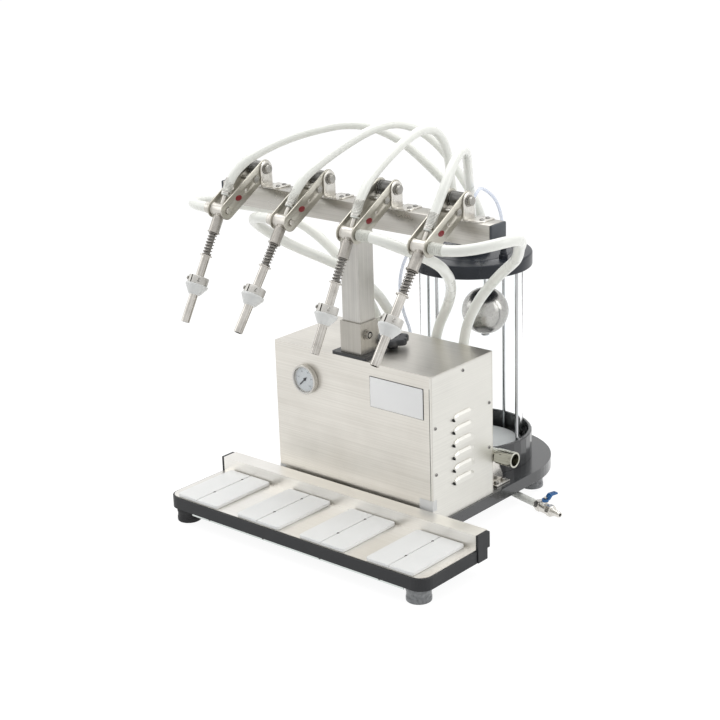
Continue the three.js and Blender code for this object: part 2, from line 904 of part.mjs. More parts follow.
function coilLine(turns, radius, z0, z1, lead) {
  const line = [point(radius, 0, z0), point(radius, 0, z0 + lead / 2)];
  const steps = Math.round(turns * stepsPerTurn);
  for (let k = 0; k <= steps; k += 1) {
    const turn = (k / stepsPerTurn) * 2 * Math.PI;
    const z = z0 + lead + (k / steps) * (z1 - z0 - 2 * lead);
    line.push(point(radius * Math.cos(turn), radius * Math.sin(turn), z));
  }
  const last = line[line.length - 1];
  line.push(point(last.x, last.y, z1 - lead / 2), point(last.x, last.y, z1));
  return line;
}

function wireTube(line, wireRadius) {
  const positions = [];
  const index = [];
  let side = point(0, 0, 0).copy(axisX);
  line.forEach((at, k) => {
    const before = line[Math.max(k - 1, 0)];
    const after = line[Math.min(k + 1, line.length - 1)];
    const along = after.clone().sub(before).normalize();
    side = side.clone().addScaledVector(along, -side.dot(along)).normalize();
    const other = along.clone().cross(side);
    for (let s = 0; s < wireSides; s += 1) {
      const turn = (s / wireSides) * 2 * Math.PI;
      const corner = at.clone().addScaledVector(side, wireRadius * Math.cos(turn));
      positions.push(...corner.addScaledVector(other, wireRadius * Math.sin(turn)).toArray());
    }
  });
  for (let k = 0; k < line.length - 1; k += 1) {
    for (let s = 0; s < wireSides; s += 1) {
      const a = k * wireSides + s;
      const b = k * wireSides + ((s + 1) % wireSides);
      index.push(a, b, b + wireSides, a, b + wireSides, a + wireSides);
    }
  }
  const lastRing = (line.length - 1) * wireSides;
  for (let s = 1; s < wireSides - 1; s += 1) {
    index.push(0, s + 1, s, lastRing, lastRing + s, lastRing + s + 1);
  }
  const geometry = new THREE.BufferGeometry();
  geometry.setAttribute('position', new THREE.BufferAttribute(Float32Array.from(positions), 3));
  geometry.setIndex(index);
  return geometry;
}

// The least gap between turns, measured on points along the wire's line
function leastGap(line, wireRadius) {
  const perStep = 4;
  const fine = [];
  for (let k = 0; k < line.length - 1; k += 1) {
    for (let s = 0; s < perStep; s += 1) fine.push(line[k].clone().lerp(line[k + 1], s / perStep));
  }
  fine.push(line[line.length - 1]);
  const apart = (stepsPerTurn / 2) * perStep;
  let least = Infinity;
  for (let a = 0; a < fine.length; a += 1) {
    for (let b = a + apart; b < fine.length; b += 1) least = Math.min(least, fine[a].distanceTo(fine[b]));
  }
  return least - 2 * wireRadius;
}

// Pivot: a bolt through ears and arm, with a spool that carries the wound torsion spring
function pivot() {
  const spoolHalf = armGap / 2 - clearance - spoolFlange / 2;
  const flangeInner = spoolHalf - spoolFlange;
  const seat = earOuterX + clearance;
  const boltEnd = seat + pivotWasher + pivotHexLength;
  const radius = spoolFlangeRadius - torsionWire / 2 - sink;
  const coil = coilLine(torsionTurns, radius, -flangeInner - sink, flangeInner + sink, torsionWire + sink);
  console.log(`torsion spring, least gap between turns: ${leastGap(coil, torsionWire / 2).toFixed(2)} mm`);
  const wire = solid(wireTube(coil, torsionWire / 2).applyMatrix4(alongX));
  const parts = [
    bar(pivotBoltRadius, point(-boltEnd, 0, 0), point(boltEnd, 0, 0), 8),
  ];
  for (const side of [-1, 1]) {
    parts.push(
      bar(spoolFlangeRadius, point(side * flangeInner, 0, 0), point(side * spoolHalf, 0, 0), 10),
      bar(pivotWasherRadius, point(side * seat, 0, 0), point(side * (seat + pivotWasher), 0, 0), 10),
      bar(pivotHexRadius, point(side * (seat + pivotWasher - sink), 0, 0), point(side * boltEnd, 0, 0), 6),
    );
  }
  return join(wire, ...parts);
}

// Arm: two plates with round ends, joined by a cross pin. It points to the front in its own frame.
function arm() {
  const plateOutline = new THREE.Shape();
  plateOutline.absarc(0, 0, armRadius, -Math.PI / 2, Math.PI / 2, false);
  plateOutline.absarc(-armLength, 0, armRadius, Math.PI / 2, 1.5 * Math.PI, false);
  const inner = armGap / 2;
  const outer = inner + armSheet;
  const holes = [
    [0, pivotBoltRadius + 2 * clearance],
    [-armLength, trunnionRadius + 2 * clearance],
    [armHoleFromBarrel - armLength, armHoleRadius],
  ].map(([y, radius]) => bar(radius, point(-outer - overrun, y, 0), point(outer + overrun, y, 0), 8));
  const plates = cut(
    join(sheetAcross(plateOutline, inner, outer), sheetAcross(plateOutline, -outer, -inner)),
    ...holes,
  );
  const y = -armPinFromPivot;
  const pin = bar(armPinRadius, point(-outer - armPinHead, y, 0), point(outer + armPinHead, y, 0), 8);
  const heads = [-1, 1].map((side) => bar(
    armPinHeadRadius,
    point(side * (outer - sink), y, 0),
    point(side * (outer + armPinHead), y, 0),
    6,
  ));
  return join(plates, pin, ...heads);
}

// Head: barrel with trunnions, vacuum tube above, collar and inner tube below, in its own upright frame
function head(fillSide) {
  const plateOuter = armGap / 2 + armSheet;
  const barrelHalf = armGap / 2 - clearance;
  const barrel = bar(barrelRadius, point(-barrelHalf, 0, 0), point(barrelHalf, 0, 0), 14);
  const trunnion = bar(
    trunnionRadius,
    point(-fillSide * (plateOuter + trunnionButton), 0, 0),
    point(fillSide * (plateOuter + fillStub), 0, 0),
    10,
  );
  const tube = solid(turned([
    [0, innerTubeShort - tipEnd],
    [innerTubeRadius, innerTubeShort - tipEnd],
    [innerTubeRadius, -collarEnd - springRing],
    [springRingRadius, -collarEnd - springRing],
    [springRingRadius, -collarEnd],
    [collarRadius, -collarEnd],
    [collarRadius, 0],
    [vacuumTubeRadius, 0],
    [vacuumTubeRadius, vacuumTubeTop],
    [0, vacuumTubeTop],
  ], 12));
  return join(barrel, trunnion, tube);
}

// Spout: sleeve, slotted clamp collar, stopper cone and tip, one sliding piece on the inner tube
function spout() {
  const bore = innerTubeRadius + clearance;
  const clampEnd = clampTop + clampHeight;
  const body = solid(turned([
    [bore, -tipEnd],
    [sleeveRadius, -tipEnd],
    [sleeveRadius, -coneEnd],
    [coneEndRadius, -coneEnd],
    [coneTopRadius, -clampEnd - coneRim],
    [coneTopRadius, -clampEnd],
    [clampRadius, -clampEnd],
    [clampRadius, -clampTop],
    [sleeveRadius, -clampTop],
    [sleeveRadius, -sleeveTop - springRing],
    [springRingRadius, -sleeveTop - springRing],
    [springRingRadius, -sleeveTop],
    [bore, -sleeveTop],
    [bore, -tipEnd],
  ], 12));
  const slot = block(
    -clampSlot / 2,
    clampSlot / 2,
    -clampRadius - overrun,
    -sleeveRadius,
    -clampEnd,
    -clampTop + overrun,
  );
  return cut(body, slot);
}

function spoutSpring() {
  const top = -collarEnd - springRing - clearance;
  const bottom = -sleeveTop + clearance;
  const line = coilLine(springTurns, springRadius, bottom, top, springWire);
  console.log(`spout spring, least gap between turns: ${leastGap(line, springWire / 2).toFixed(2)} mm`);
  return solid(wireTube(line, springWire / 2));
}

headXs.forEach((x, k) => {
  const number = k + 1;
  const atPivot = new THREE.Group();
  atPivot.position.set(x, pivotY, pivotZ);
  machine.add(atPivot);
  add(atPivot, `pivot_${number}`, pivot(), darkSteel());

  const sloped = new THREE.Group();
  sloped.rotation.x = armSlope;
  atPivot.add(sloped);
  add(sloped, `arm_${number}`, arm(), steel());

  const tilted = new THREE.Group();
  tilted.position.set(x, barrelY, barrelZ);
  tilted.rotation.x = -headTilts[k];
  machine.add(tilted);
  add(tilted, `head_${number}`, head(fillSides[k]), steel());
  add(tilted, `spring_${number}`, spoutSpring(), steel());
  add(tilted, `spout_${number}`, spout(), whitePlastic());
});

// Jar: base cup, glass, tie rods on a ring, lid with its fittings, and the float on the lid's stem
const jar = new THREE.Group();
jar.position.set(jarX, jarY, 0);
machine.add(jar);

function jarBase() {
  const top = seatZ + jarBaseHeight;
  const inner = jarBaseRadius - jarBaseWall;
  return solid(turned([
    [0, seatZ],
    [jarBaseRadius, seatZ],
    [jarBaseRadius, top - jarBevel],
    [jarBaseRadius - jarBevel, top],
    [inner, top],
    [inner, seatZ + jarBaseFloor],
    [0, seatZ + jarBaseFloor],
  ], 36));
}
add(jar, 'jar_base', jarBase(), blackPlastic());

function jarGlass() {
  const top = lidUnderZ - clearance;
  const inner = glassRadius - glassWall;
  return solid(turned([
    [inner, jarFloorZ],
    [glassRadius, jarFloorZ],
    [glassRadius, top],
    [inner, top],
    [inner, jarFloorZ],
  ], 36));
}
add(jar, 'jar_glass', jarGlass(), clearWall());

function tieRods() {
  const ringInner = tieRodCircle - tieRodRadius;
  const ringOuter = tieRodCircle + tieRodRadius;
  const ring = solid(turned([
    [ringInner, jarFloorZ],
    [ringOuter, jarFloorZ],
    [ringOuter, jarFloorZ + tieRing],
    [ringInner, jarFloorZ + tieRing],
    [ringInner, jarFloorZ],
  ], 24));
  const rods = [0, 1, 2, 3].map((quarter) => {
    const x = tieRodCircle * Math.cos((quarter * Math.PI) / 2);
    const y = tieRodCircle * Math.sin((quarter * Math.PI) / 2);
    return bar(tieRodRadius, point(x, y, jarFloorZ), point(x, y, lidUnderZ - clearance), 8);
  });
  return join(ring, ...rods);
}
add(jar, 'tie_rods', tieRods(), steel());

function jarLid() {
  const plate = solid(turned([
    [0, lidUnderZ],
    [lidRadius, lidUnderZ],
    [lidRadius, lidTopZ - jarBevel],
    [lidRadius - jarBevel, lidTopZ],
    [bossRadius, lidTopZ],
    [bossRadius, bossTopZ - jarBevel],
    [bossRadius - jarBevel, bossTopZ],
    [0, bossTopZ],
  ], 32));
  const barbs = [1, 3, 5, 7].map((eighth) => {
    const x = lidBarbCircle * Math.cos((eighth * Math.PI) / 4);
    const y = lidBarbCircle * Math.sin((eighth * Math.PI) / 4);
    return bar(lidBarbRadius, point(x, y, bossTopZ - sink), point(x, y, bossTopZ + lidBarbLength), 8);
  });
  const hexTop = lidTopZ + elbowHexHeight;
  const elbowAt = (z) => point(elbowOffsetX, elbowOffsetY, z);
  const elbow = [
    bar(elbowHexRadius, elbowAt(lidTopZ - sink), elbowAt(hexTop), 6),
    bar(elbowRadius, elbowAt(hexTop - sink), elbowAt(lidTopZ + elbowHeight), 10),
  ];
  const stemX = floatX - jarX;
  const stemY = floatY - jarY;
  const stopTop = floatZ - floatRadius - clearance;
  const stem = bar(floatStemRadius, point(stemX, stemY, stopTop - sink), point(stemX, stemY, lidUnderZ + sink), 8);
  const stop = bar(floatStopRadius, point(stemX, stemY, stopTop - floatStop), point(stemX, stemY, stopTop), 12);
  return join(plate, ...barbs, ...elbow, stem, stop);
}
add(jar, 'jar_lid', jarLid(), glossBlack());

// The float is a thin steel ball with a hole at each pole for the stem
function floatBall() {
  const hole = floatStemRadius + clearance;
  const rings = 6;
  const arc = (radius, from, to) => {
    const points = [];
    for (let k = 0; k <= rings; k += 1) {
      const turn = from + ((to - from) * k) / rings;
      points.push([radius * Math.sin(turn), -radius * Math.cos(turn)]);
    }
    return points;
  };
  const outer = Math.asin(hole / floatRadius);
  const inner = Math.asin(hole / (floatRadius - floatWall));
  const outside = arc(floatRadius, outer, Math.PI - outer);
  const inside = arc(floatRadius - floatWall, Math.PI - inner, inner);
  return solid(turned([...outside, ...inside, outside[0]], 16));
}
const floatPlace = new THREE.Group();
floatPlace.position.set(floatX, floatY, floatZ);
machine.add(floatPlace);
add(floatPlace, 'float', floatBall(), steel());

// Manifold: a pipe with an open mouth, four barbs for the filling hoses, and two saddles
function saddle(x) {
  const shape = new THREE.Shape();
  shape.moveTo(saddleFrontY, seatZ);
  shape.lineTo(saddleRearY, seatZ);
  shape.lineTo(saddleRearY, seatZ + saddleRadius / 2);
  shape.lineTo(pipeY + saddleRadius * Math.cos(Math.PI / 4), pipeZ + saddleRadius * Math.sin(Math.PI / 4));
  shape.absarc(pipeY, pipeZ, saddleRadius, Math.PI / 4, Math.acos((saddleFrontY - pipeY) / saddleRadius), false);
  const plate = sheetAcross(shape, x - saddleSheet, x);
  const foot = block(x - sink, x + saddleFootWidth, saddleFootFrontY, saddleRearY, seatZ, seatZ + saddleSheet);
  const bolts = saddleBoltY.map((y) => bar(
    saddleBoltRadius,
    point(x + saddleFootWidth / 2, y, seatZ + saddleSheet - sink),
    point(x + saddleFootWidth / 2, y, seatZ + saddleSheet + saddleBoltHeight),
    6,
  ));
  return join(plate, foot, ...bolts);
}

function manifold() {
  const length = pipeRightX - pipeLeftX;
  const inner = pipeRadius - pipeWall;
  const outside = bar(pipeRadius, point(pipeLeftX, pipeY, pipeZ), point(pipeRightX, pipeY, pipeZ), 16);
  const bore = bar(
    inner,
    point(pipeLeftX + pipeWall, pipeY, pipeZ),
    point(pipeLeftX + length + overrun, pipeY, pipeZ),
    16,
  );
  const barbs = pipeBarbX.map((x) => bar(
    pipeBarbRadius,
    point(x, pipeY, pipeZ),
    point(x, pipeY, pipeZ + mouthRadius + pipeBarbRise),
    8,
  ));
  const mouth = bar(mouthRadius, point(pipeRightX - mouthLength, pipeY, pipeZ), point(pipeRightX, pipeY, pipeZ), 16);
  return cut(join(outside, mouth, ...barbs, ...saddleX.map(saddle)), bore);
}
add(machine, 'manifold', manifold(), steel());

// Drain valve: turned body with two hexagons, a ridged hose tail and a stem for the lever
const valve = new THREE.Group();
valve.position.set(valveX, valveY, valveZ);
valve.rotation.z = drainHeading;
machine.add(valve);

const bodyStart = valveRing + valveHex;
const bodyEnd = bodyStart + valveBody;
const neckEnd = bodyEnd + valveHex + valveNeck;
const tailEnd = neckEnd + valveRidges * valveRidge;
const stemAt = bodyStart + valveBody / 2;

function drainValve() {
  const ridges = [];
  for (let k = 0; k < valveRidges; k += 1) {
    const start = neckEnd + k * valveRidge;
    ridges.push([valveRidgeRadius, start], [valveTailRadius, start + valveRidge]);
  }
  const turnedBody = solid(turned([
    [valveBore, 0],
    [valveRingRadius, 0],
    [valveRingRadius, valveRing],
    [valveBodyRadius, valveRing],
    [valveBodyRadius, bodyEnd + valveHex],
    [valveNeckRadius, bodyEnd + valveHex],
    [valveNeckRadius, neckEnd],
    ...ridges,
    [valveBore, tailEnd],
    [valveBore, 0],
  ], 10).applyMatrix4(alongX));
  const hexes = [valveRing, bodyEnd].map((start) => {
    const nut = bar(valveHexRadius, point(start, 0, 0), point(start + valveHex, 0, 0), 6);
    return cut(nut, bar(valveBore + sink, point(start - overrun, 0, 0), point(start + valveHex + overrun, 0, 0)));
  });
  const stem = bar(valveStemRadius, point(stemAt, 0, valveBore + sink), point(stemAt, 0, valveStemRise), 10);
  const pin = bar(leverPinRadius, point(stemAt, 0, valveStemRise - sink), point(stemAt, 0, leverTopRise), 8);
  return join(turnedBody, ...hexes, stem, pin);
}

// Lever: a hub on the stem's pin and a cranked handle
const leverFoot = valveStemRise + clearance;
const leverTopRise = leverFoot + leverHub + leverPinRise;

function valveLever() {
  const hub = bar(leverHubRadius, point(stemAt, 0, leverFoot), point(stemAt, 0, leverFoot + leverHub), 12);
  const top = leverFoot + leverHub;
  const crank = leverHubRadius;
  const handle = sheetAcross(outline([
    [0, top - leverSheet],
    [crank, top - leverSheet],
    [crank + leverRise, top + leverRise - leverSheet],
    [leverLength, top + leverRise - leverSheet],
    [leverLength, top + leverRise],
    [crank + leverRise - leverSheet, top + leverRise],
    [crank - leverSheet, top],
    [0, top],
  ]), stemAt - leverWidth / 2, stemAt + leverWidth / 2);
  const bore = bar(
    leverPinRadius + clearance,
    point(stemAt, 0, leverFoot - overrun),
    point(stemAt, 0, top + leverRise + overrun),
    8,
  );
  return cut(join(hub, handle), bore);
}
add(valve, 'valve_body', drainValve(), nickel());
add(valve, 'valve_lever', valveLever(), bluePlastic());

// Hoses: each follows its own list of points in the layout's x, y and z
function hose(points, radius, sides, steps) {
  const section = new THREE.Shape();
  for (let s = 0; s < sides; s += 1) {
    const turn = (s / sides) * 2 * Math.PI;
    section[s ? 'lineTo' : 'moveTo'](radius * Math.cos(turn), radius * Math.sin(turn));
  }
  const path = new THREE.CatmullRomCurve3(points.map((p) => point(...p)), false, 'centripetal');
  return solid(new THREE.ExtrudeGeometry(section, { extrudePath: path, steps, bevelEnabled: false }));
}

const vacuumRoutes = [
  [
    [-225, 119.1, 596.9], [-225, 123, 604], [-224, 129, 616], [-218, 140, 635], [-207, 155, 652], [-192, 177, 667],
    [-167, 221, 685], [-141, 264, 696], [-112, 315, 701], [-87, 357, 692], [-60, 400, 665], [-30, 445, 615],
    [-4, 485, 560], [9, 504, 520], [13.1, 510.1, 491], [13.1, 510.1, 479.8],
  ],
  [
    [-75, 121.7, 595.2], [-75, 126, 601], [-74, 132, 611], [-71, 144, 628], [-67, 163, 645], [-61, 190, 660],
    [-48, 249, 686], [-35, 302, 703], [-22, 350, 706], [-8, 392, 690], [8, 432, 655], [24, 465, 605],
    [37, 492, 555], [43, 507, 517], [44.3, 510.1, 491], [44.3, 510.1, 479.8],
  ],
  [
    [75, 118.6, 597.2], [75, 122, 604], [74.5, 128, 615], [73, 140, 629], [70, 163, 649], [66, 192, 664],
    [59, 259, 691], [53, 320, 705], [48, 365, 699], [43, 400, 672], [36, 422, 635], [27, 440, 595],
    [19, 458, 552], [14, 474, 514], [13.1, 478.9, 491], [13.1, 478.9, 479.8],
  ],
  [
    [225, 121.8, 595.1], [225, 126, 601], [224.5, 134, 612], [223.5, 150, 631], [220, 175, 660], [212, 203, 682],
    [201, 235, 695], [186, 268, 696], [168, 300, 684], [148, 330, 660], [126, 362, 627], [102, 398, 590],
    [78, 432, 553], [56, 464, 520], [44.3, 478.9, 493], [44.3, 478.9, 479.8],
  ],
];
const fillingRoutes = [
  [
    [-243.5, 106.1, 574], [-269.3, 106.1, 574], [-294, 112.9, 572.8], [-315.5, 127.3, 569.9],
    [-330.6, 147.7, 566], [-338.2, 172.3, 561.1], [-337.2, 197.6, 555.8], [-328.2, 221.9, 550.2],
    [-313.2, 242.2, 544.5], [-295.4, 260.1, 539.4], [-275, 274.7, 533.2], [-253, 286.3, 525.9],
    [-230.5, 295.2, 517], [-208.1, 302, 506], [-186.6, 307.7, 492.7], [-166.8, 313, 477],
    [-149.1, 318.8, 459.1], [-134, 325.7, 439.2], [-121.7, 334, 418.1], [-112.1, 343.5, 396],
    [-104.9, 353.5, 373.3], [-99.7, 363.2, 349.9], [-96.6, 372, 325.6], [-94.8, 375.3, 299.9],
    [-94.3, 376.4, 274.1], [-94.3, 376.3, 248.2], [-94.6, 375.3, 222.3], [-94.9, 374.5, 196.5],
    [-95, 374.4, 170.6], [-95, 374.4, 144.8],
  ],
  [
    [-93.5, 106.1, 574], [-115.8, 106.1, 574], [-137.2, 110.4, 571.3], [-156.3, 119.7, 565.6],
    [-171.6, 133.2, 556.8], [-181.9, 150.1, 545.9], [-186.2, 168.4, 533.2], [-185.1, 186.5, 520.1],
    [-180.8, 204, 507.2], [-173.4, 221, 495], [-163.1, 237.2, 483.8], [-150.8, 252.6, 473.6],
    [-137.2, 267.3, 463.8], [-123.2, 281.3, 453.8], [-109.3, 294.8, 442.9], [-96.3, 307.9, 430.5],
    [-84.7, 320.5, 416.2], [-75, 332.4, 400.2], [-67.4, 344.6, 382.4], [-61.9, 355.4, 363.2],
    [-58.2, 366.4, 343.4], [-56.4, 374.4, 322.7], [-55.1, 377.2, 300.5], [-54.8, 377.4, 278.1],
    [-54.7, 376.6, 255.9], [-54.7, 375.6, 233.7], [-54.8, 374.9, 211.5], [-54.9, 374.5, 189.2],
    [-55, 374.4, 167], [-55, 374.4, 144.8],
  ],
  [
    [93.5, 106.1, 574], [116.5, 106.1, 574], [137, 108.6, 570.8], [159.7, 116.5, 563.5],
    [177.3, 129, 554.7], [189.5, 145.3, 544.7], [195.8, 164.1, 533.4], [195.8, 184.8, 520.8],
    [190.1, 203.7, 509.1], [181.4, 221.5, 497.8], [172.2, 239.5, 486.7], [161.7, 257, 476.1],
    [150.3, 274.2, 465.8], [138.5, 291, 455.3], [126.5, 307.3, 444.2], [114.4, 322.7, 432],
    [102.3, 336.9, 418.5], [90.1, 349.2, 403.3], [77.6, 358.6, 386.5], [65.3, 364.6, 368.1],
    [53.6, 368.2, 348.7], [43.7, 372.5, 328], [37.3, 373.6, 305.7], [34.3, 373.2, 282.6],
    [33.1, 373.2, 259.6], [33.3, 373.2, 236.5], [33.7, 373.3, 213.4], [35, 373.3, 190.3],
    [34, 374.4, 167.7], [34, 374.4, 144.8],
  ],
  [
    [243.5, 106.1, 574], [269.2, 106.1, 574], [294, 112.6, 575.8], [315, 126.6, 578.8],
    [330.5, 146.9, 581.8], [338.8, 171.6, 582.9], [339.2, 197.4, 580.7], [332.5, 222, 574.1],
    [320.6, 242.2, 563.4], [305.9, 258.3, 549.1], [292.6, 273.9, 533.7], [277.4, 289.1, 519.4],
    [260.1, 303.2, 506.5], [241.8, 316.1, 493.9], [223.2, 327.9, 480.5], [204.6, 338.1, 465.9],
    [186.2, 346.8, 450], [168.4, 353.9, 432.8], [151.5, 359.5, 414.2], [136.1, 364, 394],
    [122.7, 367.4, 372.3], [112, 369.9, 349], [104.3, 372.9, 324.6], [99.7, 373.5, 299.2],
    [97.6, 374.2, 273.6], [97.2, 374.7, 247.8], [97.8, 374.9, 222], [98.6, 374.7, 196.3],
    [99, 374.4, 170.5], [99, 374.4, 144.8],
  ],
];
const airRoute = [
  [111.8, 482.5, 473.9], [111.8, 482.5, 497.3], [109.1, 482.2, 519.8], [106.3, 479, 541.4],
  [103.1, 470.6, 561.5], [101.2, 454.6, 577.5], [103.2, 434.4, 588.5], [110.6, 414.7, 594.4],
  [121.8, 396.2, 597], [131.4, 376.9, 596.2], [136, 359, 588.6], [131.2, 343.9, 576.6],
  [117.6, 335.6, 564.2], [98.4, 333.4, 553.3], [76.8, 335.7, 541.4], [57.7, 338.6, 529.1],
  [39.6, 341.7, 515.9], [22.4, 345.3, 501.6], [6.4, 349.5, 486.2], [-8.2, 353.9, 469.2],
  [-20.6, 358.4, 450.6], [-30.4, 362.6, 430.8], [-37.4, 367.2, 409.6], [-41.6, 372.4, 387.6],
  [-43.8, 379, 365], [-44.4, 386.4, 342.6], [-44, 395.6, 321.4], [-42.8, 400.3, 303.6],
  [-40.6, 397, 289.4], [-37.9, 387.3, 279.1], [-35.6, 374.7, 275], [-35, 367.2, 274.8],
];
const drainRoute = [
  [96.5, 468.1, 16], [101, 466.9, 16], [107, 465.3, 15.8], [114, 463.5, 15.5], [121, 461.7, 15], [129, 459.6, 14.3],
  [137, 457.8, 13.6], [145, 455.8, 12.9], [153, 453.9, 12.3], [162, 451.6, 11.9], [171, 449.4, 11.7],
  [180, 447.1, 11.6], [189, 444.8, 11.6], [199, 442.3, 11.6], [208, 440, 11.6], [217.3, 437.6, 11.6],
];

vacuumRoutes.forEach((route, k) => {
  add(machine, `vacuum_hose_${k + 1}`, hose(route, vacuumHoseRadius, 8, 9), milkyHose());
});
fillingRoutes.forEach((route, k) => {
  add(machine, `filling_hose_${k + 1}`, hose(route, fillingHoseRadius, 8, 12), milkyHose());
});
add(machine, 'air_tube', hose(airRoute, airTubeRadius, 8, 12), clearTube());
add(machine, 'drain_hose', hose(drainRoute, drainHoseRadius, 8, 3), milkyHose());

// The origin is under the middle of the machine's plan, hoses aside
const steepest = Math.max(...headTilts);
const tipFrontY = barrelY - tipEnd * Math.sin(steepest) - sleeveRadius * Math.cos(steepest);
const planMiddleX = (mastX - beamHalf + trayWidth / 2 + cheekProud) / 2;
const planMiddleY = (tipFrontY + jarY + basePlateRadius) / 2;
machine.position.set(-planMiddleX, -planMiddleY, 0);

const part = new THREE.Group();
part.add(machine);
part.updateMatrixWorld(true);

export default part;
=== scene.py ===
# Vacuum filling machine for bottles, dressed for its photograph. Metres, +Z up.
# Places are given in the machine's layout: x from the tray's middle, y from the tray's front
# edge, z from the floor. The sections follow the machine as it is put together.
import math

import bmesh
import bpy
from mathutils import Matrix, Vector


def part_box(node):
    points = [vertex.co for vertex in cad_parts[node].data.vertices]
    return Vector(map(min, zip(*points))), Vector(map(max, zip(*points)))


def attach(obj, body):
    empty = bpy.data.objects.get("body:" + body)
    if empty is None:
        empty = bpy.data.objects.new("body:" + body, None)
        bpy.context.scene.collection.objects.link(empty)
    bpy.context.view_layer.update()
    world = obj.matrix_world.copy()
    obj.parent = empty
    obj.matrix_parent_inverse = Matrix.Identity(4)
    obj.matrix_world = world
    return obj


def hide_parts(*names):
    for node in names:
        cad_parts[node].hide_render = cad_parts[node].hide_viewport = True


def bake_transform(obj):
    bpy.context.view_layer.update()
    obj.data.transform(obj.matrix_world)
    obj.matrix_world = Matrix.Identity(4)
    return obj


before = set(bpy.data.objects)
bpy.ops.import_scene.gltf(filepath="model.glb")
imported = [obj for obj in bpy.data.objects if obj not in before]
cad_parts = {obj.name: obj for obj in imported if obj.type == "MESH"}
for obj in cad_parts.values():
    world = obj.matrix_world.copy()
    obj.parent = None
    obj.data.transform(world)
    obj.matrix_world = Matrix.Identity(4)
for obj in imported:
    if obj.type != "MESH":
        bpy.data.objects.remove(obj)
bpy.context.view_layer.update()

# The floor and the room
# A matt white table top that fades into a white backdrop, under broad soft lamps. The camera
# stands where the photographer's stood, worked out from the machine's straight edges.
tray_low, tray_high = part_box("tray_frame")
layout = Vector(((tray_low.x + tray_high.x) / 2, tray_low.y, 0))


def spot(x, y, z):
    return layout + Vector((x, y, z))


def at_spot(x, y, z):
    return Matrix.Translation(spot(x, y, z))


camera_spot = spot(1.83514, -1.89651, 1.25511)
camera_heading = math.radians(41.11)
camera_dip = math.radians(18.67)
camera_roll = math.radians(-1.84)
camera_lens = 83.563
sensor_width = 36
room_tint = (0.98, 0.99, 1.0, 1)
room_strength = 0.55
table_half = 30
table_white = (0.93, 0.93, 0.925, 1)
table_glow = 1.15
table_glow_share = 0.8

scene = bpy.context.scene
scene.view_settings.view_transform = "Standard"


def stand_camera():
    forward = Vector((
        -math.sin(camera_heading) * math.cos(camera_dip),
        math.cos(camera_heading) * math.cos(camera_dip),
        -math.sin(camera_dip),
    ))
    level = forward.cross(Vector((0, 0, 1))).normalized()
    above = level.cross(forward)
    right = level * math.cos(camera_roll) + above * math.sin(camera_roll)
    up = above * math.cos(camera_roll) - level * math.sin(camera_roll)
    data = bpy.data.cameras.new("camera")
    data.lens = camera_lens
    data.sensor_width = sensor_width
    camera = bpy.data.objects.new("camera", data)
    turn = Matrix((right, up, -forward)).transposed().to_4x4()
    camera.matrix_world = Matrix.Translation(camera_spot) @ turn
    scene.collection.objects.link(camera)
    scene.camera = camera


stand_camera()


def link(tree, start, end):
    tree.links.new(start, end)


def set_inputs(node, values):
    for label, value in values.items():
        node.inputs[label].default_value = value
    return node


def add_node(tree, kind, values=None, operation=None):
    node = set_inputs(tree.nodes.new(kind), values or {})
    if operation:
        node.operation = operation
    return node


def mix_shaders(tree, share, first, second):
    mix = add_node(tree, "ShaderNodeMixShader")
    for source, socket in zip((share, first.outputs[0], second.outputs[0]), mix.inputs):
        link(tree, source, socket)
    return mix.outputs[0]


# Camera, mirror and glass rays, which all see the backdrop white
def looking_rays(tree):
    rays = add_node(tree, "ShaderNodeLightPath")
    seen = add_node(tree, "ShaderNodeMath", operation="MAXIMUM")
    mirrored = add_node(tree, "ShaderNodeMath", operation="MAXIMUM")
    link(tree, rays.outputs["Is Camera Ray"], seen.inputs[0])
    link(tree, rays.outputs["Is Transmission Ray"], seen.inputs[1])
    link(tree, seen.outputs[0], mirrored.inputs[0])
    link(tree, rays.outputs["Is Glossy Ray"], mirrored.inputs[1])
    return mirrored.outputs[0]


def soft_room():
    room = bpy.data.worlds.new("room")
    room.use_nodes = True
    tree = room.node_tree
    tree.nodes.clear()
    ambient = add_node(tree, "ShaderNodeBackground", {"Color": room_tint, "Strength": room_strength})
    white = add_node(tree, "ShaderNodeBackground", {"Color": (1, 1, 1, 1), "Strength": 1})
    output = add_node(tree, "ShaderNodeOutputWorld")
    link(tree, mix_shaders(tree, looking_rays(tree), ambient, white), output.inputs["Surface"])
    scene.world = room


soft_room()
machine_middle = spot(0, 0.3, 0.3)


def soft_lamp(name, place, width, height, power):
    data = bpy.data.lights.new(name, "AREA")
    data.shape = "RECTANGLE"
    data.size = width
    data.size_y = height
    data.energy = power
    lamp = bpy.data.objects.new(name, data)
    lamp.location = place
    lamp.rotation_euler = (machine_middle - place).to_track_quat("-Z", "Y").to_euler()
    scene.collection.objects.link(lamp)


soft_lamp("overhead_lamp", spot(-0.3, 0.5, 2.2), 2.2, 1.8, 26)
soft_lamp("right_lamp", spot(2.0, 1.2, 1.3), 1.2, 1.4, 12)
soft_lamp("left_lamp", spot(-2.0, -0.9, 1.4), 1.2, 1.4, 7)


def new_material(name, values):
    material = bpy.data.materials.new(name)
    material.use_nodes = True
    shader = set_inputs(material.node_tree.nodes["Principled BSDF"], values)
    return material, material.node_tree, shader


